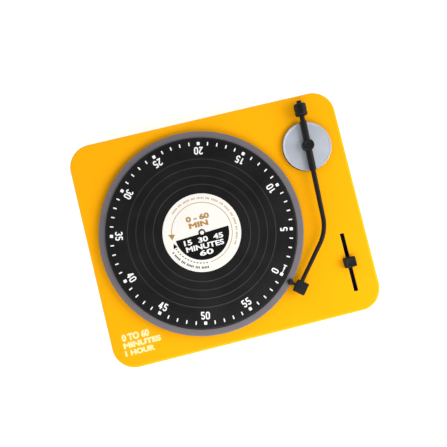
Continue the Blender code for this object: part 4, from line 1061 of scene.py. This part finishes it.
def arrowhead(radius, start, end, half, centre, bottom, top):
    """A triangle whose base lies across the circle at angle start and whose tip is at end."""
    tip = polar(radius, end, centre)
    inner = np.stack([polar(radius - half, start, centre), tip])
    outer = np.stack([polar(radius + half, start, centre), tip])
    return ribbon(inner, outer, bottom, top)


def dots(radius, start, end, pitch, centre, bottom, top):
    """Small printed dots, `pitch` apart round a circle from angle start to end."""
    count = int(abs(end - start) * radius / pitch)
    return [
        mark(0.38 * MM, 0.8 * MM, polar(radius, angle, centre), angle, bottom, top, 4.0, 4)
        for angle in np.linspace(start, end, count)
    ]


def dashes(radius, start, end, centre, bottom, top, stout=1.0):
    """A ring of fine upright dashes in groups of five and three, from angle start to end."""
    pitch = 0.62 * MM
    count = int(abs(end - start) * radius / pitch)
    made = []
    for i, angle in enumerate(np.linspace(start, end, count)):
        if i % 10 in (5, 9):
            continue
        place = polar(radius, angle, centre)
        made.append(mark(0.85 * stout * MM, 0.34 * stout * MM, place, angle, bottom, top, 4.0, 3))
    return made


class TIMER_OT_arm(bpy.types.Operator):
    """Makes the pick-up arm on its silver disc"""

    bl_idname = "timer.arm"
    bl_label = "Arm"

    def execute(self, context):
        """Turned shapes stand on the disc's centre or lie along the arm's line. The thin tube
        is straight, bent on one arc and straight again, and tapers evenly from the rear tube."""
        sizes = context.scene.timer_sizes
        black = finish("moulded_black_abs")
        base = middle_of("arm_base")
        low, high = edges_of("arm_base")
        radius = radius_of("arm_base")
        edge, face, lip = 0.12 * MM, high[2] - 0.1 * MM, 0.8 * MM
        seam, bore = high[2] - 0.2 * MM, sizes.arm_stem + 0.05 * MM
        profile = [(bore, face), (radius - lip, face), (radius - lip + 0.15 * MM, high[2])]
        profile += list(fillet((radius - edge, high[2] - edge), edge, 90, 0, 6))
        profile += [(radius, seam), (bore, seam)]
        mesh = turned(profile, base, 160)
        piece("arm_disc", [mesh], finish("spun_silver_paint"), "case", ["arm_base"])
        # painted shade: the disc's side below the silver face is black, standing in for the shade
        # on its side wall
        profile = [(bore, seam), (radius, seam), (radius, low[2]), (bore, low[2])]
        mesh = turned(profile, base, 160)
        piece("arm_disc_shade_side", [mesh], black, "case")

        post_low, post_top = (corner[2] for corner in edges_of("arm_post"))
        hub, hub_edge = 2.55 * MM, 0.35 * MM
        profile = [(0, post_top - 0.12 * MM), (hub * 0.55, post_top - 0.12 * MM)]
        profile += [(hub * 0.62, post_top)]
        profile += list(fillet((hub - hub_edge, post_top - hub_edge), hub_edge, 90, 0, 6))
        profile += [(hub, high[2] - 0.02 * MM), (sizes.arm_stem, high[2] - 0.02 * MM)]
        profile += [(sizes.arm_stem, post_low), (0, post_low)]
        mesh = turned(profile, base, 64)
        piece("arm_hub", [mesh], black, "case", ["arm_post"])

        level = sum(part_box("rear_tube")[k][2] for k in range(2)) / 2
        back = np.array((math.sin(sizes.arm_tilt), math.cos(sizes.arm_tilt), 0.0))
        centre = np.array((*base, level))
        thick, reach, rim = sizes.rear_radius, sizes.rear_reach, 0.2 * MM
        profile = [(0, -reach)] + list(fillet((thick - rim, -reach + rim), rim, -90, 0, 4))
        profile += list(fillet((thick - rim, reach - rim), rim, 0, 90, 4)) + [(0, reach)]
        mesh = bar_along(centre, back, profile, 48)
        piece("arm_rear_tube", [mesh], black, "case", ["rear_tube"])

        near, far = sizes.weight_start, sizes.weight_start + sizes.weight_length
        big, bevel, waist = sizes.weight_radius, 0.6 * MM, 0.14 * MM
        profile = [(0, near)] + list(fillet((big - bevel, near + bevel), bevel, -90, 0, 5))
        third = (far - near) / 3
        profile += [(big, near + third), (big - waist, near + third + waist)]
        profile += [(big - waist, near + third + 3 * waist), (big, near + third + 4 * waist)]
        profile += list(fillet((big - bevel, far - bevel), bevel, 0, 90, 5)) + [(0, far)]
        mesh = bar_along(centre, back, profile, 64)
        piece("arm_weight", [mesh], black, "case", ["counterweight"])

        thin, nub = sizes.tube_radius, far + 1.35 * MM
        profile = [(0, reach - 0.5 * MM), (thin, reach - 0.5 * MM)]
        profile += list(fillet((thin - rim, nub - rim), rim, 0, 90, 4)) + [(0, nub)]
        mesh = bar_along(centre, back, profile, 40)
        piece("arm_weight_shaft", [mesh], black, "case", ["weight_shaft"])
        self.make_tube_and_head(sizes, black, base, back, level)
        return {"FINISHED"}

    def make_tube_and_head(self, sizes, black, base, back, level):
        """The tube's line: from the rear tube towards the front, round an arc of the bend's
        radius that touches both straights, and into the head."""
        axis = middle_of("platter")
        head = polar(sizes.head_radius, sizes.head_angle, axis)
        corner = base - sizes.arm_reach * back[:2]
        off = 0.8 * MM
        gap = head - corner
        lead = math.atan2(gap[1], gap[0]) - math.asin(off / np.linalg.norm(gap))
        meet = polar(off, lead - math.pi / 2, head)
        first = math.atan2(-back[1], -back[0])
        turn = first - lead
        tangent = sizes.arm_bend * math.tan(turn / 2)
        start = corner + tangent * back[:2]
        middle = polar(sizes.arm_bend, first - math.pi / 2, start)
        begin = base - (sizes.rear_reach - 0.5 * MM) * back[:2]
        angles = first + math.pi / 2 - np.linspace(0, turn, 40)
        arc = middle + sizes.arm_bend * np.stack([np.cos(angles), np.sin(angles)], 1)
        end = meet - 1.2 * MM * np.array((math.cos(lead), math.sin(lead)))
        share = np.linspace(0, 1, 20)[:, None]
        line = np.concatenate([begin * (1 - share[:-1]) + arc[0] * share[:-1], arc])
        line = np.concatenate([line, arc[-1] * (1 - share[1:]) + end * share[1:]])
        run = np.append(0, np.cumsum(np.linalg.norm(np.diff(line, axis=0), axis=1)))
        radii = sizes.tube_radius + (sizes.tube_end - sizes.tube_radius) * run / run[-1]
        tangents = np.gradient(line, axis=0)
        centres = np.column_stack([line, np.full(len(line), level)])
        mesh = carried(centres, np.column_stack([tangents, np.zeros(len(line))]), radii, 40)
        piece("arm_front_tube", [mesh], black, "case", ["arm_tube"])

        low, high = edges_of("headshell")
        soft = 0.4 * MM
        rows = [(soft / 2, low[2])] + [(0, low[2] + soft / 2)]
        rows += soft_top(soft, high[2])
        size = (sizes.head_length, sizes.head_width)
        shell = block(size, 0.5 * MM, rows, head, lead, 8)
        dome = [(0, high[2] + 0.16 * MM), (0.35 * MM, high[2] + 0.13 * MM)]
        dome += [(0.6 * MM, high[2] - 0.05 * MM), (0, high[2] - 0.05 * MM)]
        rivet = turned(dome, head, 32)
        pad = polar(sizes.pad_distance, sizes.pad_angle, axis)
        under, over = low[2] + 1.2 * MM, low[2] + 2.1 * MM
        rows = supported([(0.1 * MM, under), (0, under + 0.1 * MM), (0, over - 0.2 * MM)])
        rows = np.concatenate([rows, [(0.06 * MM, over - 0.06 * MM), (0.2 * MM, over)]])
        outlines = [paddle(head, pad, 1.3 * MM - 2 * i, 1.3 * MM - i) for i in rows[:, 0]]
        pointer = solid(level_rows(outlines, rows[:, 1]))
        meshes = [shell, pointer, rivet]
        piece("arm_head", meshes, black, "case", ["headshell"])


class TIMER_OT_slider(bpy.types.Operator):
    """Makes the sliding knob"""

    bl_idname = "timer.slider"
    bl_label = "Slider"

    def execute(self, context):
        """A block with rounded edges and a shallow dished top, on a narrow stem that goes down
        through the slot."""
        low, high = edges_of("slider_knob")
        place = middle_of("slider_knob")
        size = high - low
        under = edges_of("top_housing")[1][2] + 0.3 * MM
        soft = 0.45 * MM
        rows = [(soft / 2, under), (0, under + soft / 2)]
        rows += soft_top(soft, high[2])
        rows += [(0.9 * MM, high[2]), (1.3 * MM, high[2] - 0.18 * MM)]
        rows += [(2.1 * MM, high[2] - 0.24 * MM)]
        cap = block((size[0], size[1]), 0.6 * MM, rows, place, 0, 8)
        stem_rows = [(0, low[2]), (0, under + 0.2 * MM)]
        stem = block((1.2 * MM, 3 * MM), 0.15 * MM, stem_rows, place, 0, 4)
        meshes = [cap, stem]
        black = finish("moulded_black_abs")
        piece("slider_cap", meshes, black, "slider", ["slider_knob"])
        return {"FINISHED"}


class TIMER_OT_lettering(bpy.types.Operator):
    """Prints plain words about the scale on the case"""

    bl_idname = "timer.lettering"
    bl_label = "Lettering"

    def execute(self, context):
        """Three lines of ink in the near left corner, each of its own width."""
        low, high = edges_of("top_housing")
        corner = np.array((low[0], low[1]))
        bottom = high[2] - 0.02 * MM
        lines = (
            ("0 TO 60", 12.0, 13.8, 3.2),
            ("MINUTES", 16.4, 10.3, 2.5),
            ("1 HOUR", 13.0, 7.0, 2.4),
        )
        meshes = []
        for body, width, height, tall in lines:
            place = corner + np.array((5.2 + width / 2, height)) * MM
            size = (width * MM, tall * MM)
            meshes.append(lettering(body, size, place, bottom, 0.02 * MM + INK, 0.06))
        piece("case_lettering", meshes, finish("screened_cream_ink"), "case")
        return {"FINISHED"}


class TIMER_OT_underside(bpy.types.Operator):
    """Makes the feet and finishes the bottom cover and its screws"""

    bl_idname = "timer.underside"
    bl_label = "Underside"

    def execute(self, context):
        """Each foot is a turned pad with a rounded sole and a shallow ring groove in it."""
        for number in range(1, 5):
            high = edges_of(f"foot_{number}")[1]
            radius = radius_of(f"foot_{number}")
            soft = 0.4 * MM
            profile = [(0, 0), (radius * 0.45, 0), (radius * 0.5, 0.15 * MM)]
            profile += [(radius * 0.6, 0.15 * MM), (radius * 0.65, 0)]
            profile += list(fillet((radius - soft, soft), soft, -90, 0, 6))
            profile += [(radius, high[2]), (0, high[2])]
            mesh = turned(profile, middle_of(f"foot_{number}"), 64)
            name = f"rubber_foot_{number}"
            nodes = [f"foot_{number}"]
            piece(name, [mesh], finish("foot_rubber"), "case", nodes)
        coat(["bottom_cover", "slider_track"], "grained_black_abs")
        coat([f"case_screw_{number}" for number in range(1, 5)], "zinc_steel")
        return {"FINISHED"}


class TIMER_OT_clockwork(bpy.types.Operator):
    """Finishes the clockwork inside the case"""

    bl_idname = "timer.clockwork"
    bl_label = "Clockwork"

    def execute(self, context):
        """Each inner CAD piece takes the finish of its material slot."""
        finishes = {
            "zinc_steel": "zinc_steel",
            "movement_brass": "rolled_brass",
            "white_plastic": "moulded_white_acetal",
        }
        for part in frame["record"]["subparts"]:
            node = frame["nodes"][part["node"]]
            name = finishes.get(part["material_slot"])
            if name and not node.hide_render:
                coat([part["node"]], name)
        return {"FINISHED"}


class TIMER_OT_stage(bpy.types.Operator):
    """Sets the floor, the lights and the camera"""

    bl_idname = "timer.stage"
    bl_label = "Stage"

    def execute(self, context):
        """A wide pale floor, an even studio sky that is darker overhead, two soft lamps
        from the right and from the front, and a camera almost straight above."""
        scene = context.scene
        angle = np.linspace(0, math.tau, 96, endpoint=False)
        radii = np.array((0.0, 0.2, 1.0, 6.0))[:, None]
        x, y = radii * np.cos(angle), radii * np.sin(angle)
        top = np.stack([x, y, np.zeros_like(x)], -1)
        under = np.stack([x, y, np.full_like(x, -0.01)], -1)[::-1]
        mesh = solid(np.concatenate([top[1:], under[:-1]]))
        mesh.name = "floor"
        material, tree, shader, where = start_finish("pale_floor", {"Roughness": 0.8})
        shader.inputs["Specular IOR Level"].default_value = 0.1
        shader.inputs["Emission Color"].default_value = (1.0, 1.0, 1.0, 1.0)
        shader.inputs["Emission Strength"].default_value = 0.5
        vary_colour(tree, shader, linear("#F7F7F7"), cloudiness(tree, where, 0.2, 0.99, 1.0))
        mesh.materials.append(material)
        floor = bpy.data.objects.new("floor", mesh)
        scene.collection.objects.link(floor)

        world = bpy.data.worlds.new("studio")
        world.use_nodes = True
        scene.world = world
        tree = world.node_tree
        back = tree.nodes["Background"]
        where = add_node(tree, "ShaderNodeTexCoord").outputs["Generated"]
        height = add_node(tree, "ShaderNodeSeparateXYZ", {0: where}).outputs["Z"]
        values = {"Value": height, "From Min": 0.6, "From Max": 0.93}
        values |= {"To Min": 1.0, "To Max": 0.1}
        sky = add_node(tree, "ShaderNodeMapRange", values).outputs["Result"]
        tree.links.new(sky, back.inputs["Strength"])
        back.inputs["Color"].default_value = (1.0, 1.0, 1.0, 1.0)

        for name, azimuth, rise, power in (("key", -14, 40, 0.78), ("fill", -92, 49, 0.78)):
            light = bpy.data.lights.new(name, "AREA")
            light.shape = "DISK"
            light.energy = power
            light.size = 0.3
            lamp = bpy.data.objects.new(name, light)
            lamp.visible_camera = False
            scene.collection.objects.link(lamp)
            level = polar(math.cos(math.radians(rise)), math.radians(azimuth))
            towards = Vector((*level, math.sin(math.radians(rise))))
            lamp.rotation_mode = "QUATERNION"
            lamp.rotation_quaternion = (-towards).to_track_quat("-Z", "Y")
            lamp.location = 0.38 * towards + Vector((0, 0, 25 * MM))

        lens = bpy.data.cameras.new("camera")
        lens.lens = 48.32
        lens.sensor_width = 36
        lens.clip_start = 0.01
        camera = bpy.data.objects.new("camera", lens)
        camera.location = (-13.64 * MM, -10.72 * MM, 286.67 * MM)
        camera.rotation_euler = tuple(math.radians(a) for a in (3.3761, -2.1407, -13.8254))
        scene.collection.objects.link(camera)
        scene.camera = camera
        scene.view_settings.view_transform = "Standard"
        scene.view_settings.look = "None"
        return {"FINISHED"}


class TIMER_PT_panel(bpy.types.Panel):
    """Lists the timer's pieces, sizes and colours"""

    bl_idname = "TIMER_PT_panel"
    bl_label = "Record player timer"
    bl_space_type = "VIEW_3D"
    bl_region_type = "UI"
    bl_category = "Timer"

    def draw(self, context):
        for operator in OPERATORS:
            self.layout.operator(operator.bl_idname)
        for group in (context.scene.timer_sizes, context.scene.timer_colours):
            box = self.layout.box()
            for name in group.__annotations__:
                box.prop(group, name)


OPERATORS = (
    TIMER_OT_case,
    TIMER_OT_platter,
    TIMER_OT_record,
    TIMER_OT_scale,
    TIMER_OT_label,
    TIMER_OT_arm,
    TIMER_OT_slider,
    TIMER_OT_lettering,
    TIMER_OT_underside,
    TIMER_OT_clockwork,
    TIMER_OT_stage,
)
CLASSES = (TimerSizes, TimerColours, *OPERATORS, TIMER_PT_panel)


def register():
    for item in CLASSES:
        bpy.utils.register_class(item)
    bpy.types.Scene.timer_sizes = bpy.props.PointerProperty(type=TimerSizes)
    bpy.types.Scene.timer_colours = bpy.props.PointerProperty(type=TimerColours)


def unregister():
    del bpy.types.Scene.timer_colours
    del bpy.types.Scene.timer_sizes
    for item in reversed(CLASSES):
        bpy.utils.unregister_class(item)


def main():
    """Builds every piece."""
    register()
    for operator in OPERATORS:
        group, name = operator.bl_idname.split(".")
        getattr(getattr(bpy.ops, group), name)()


if __name__ == "__main__":
    main()
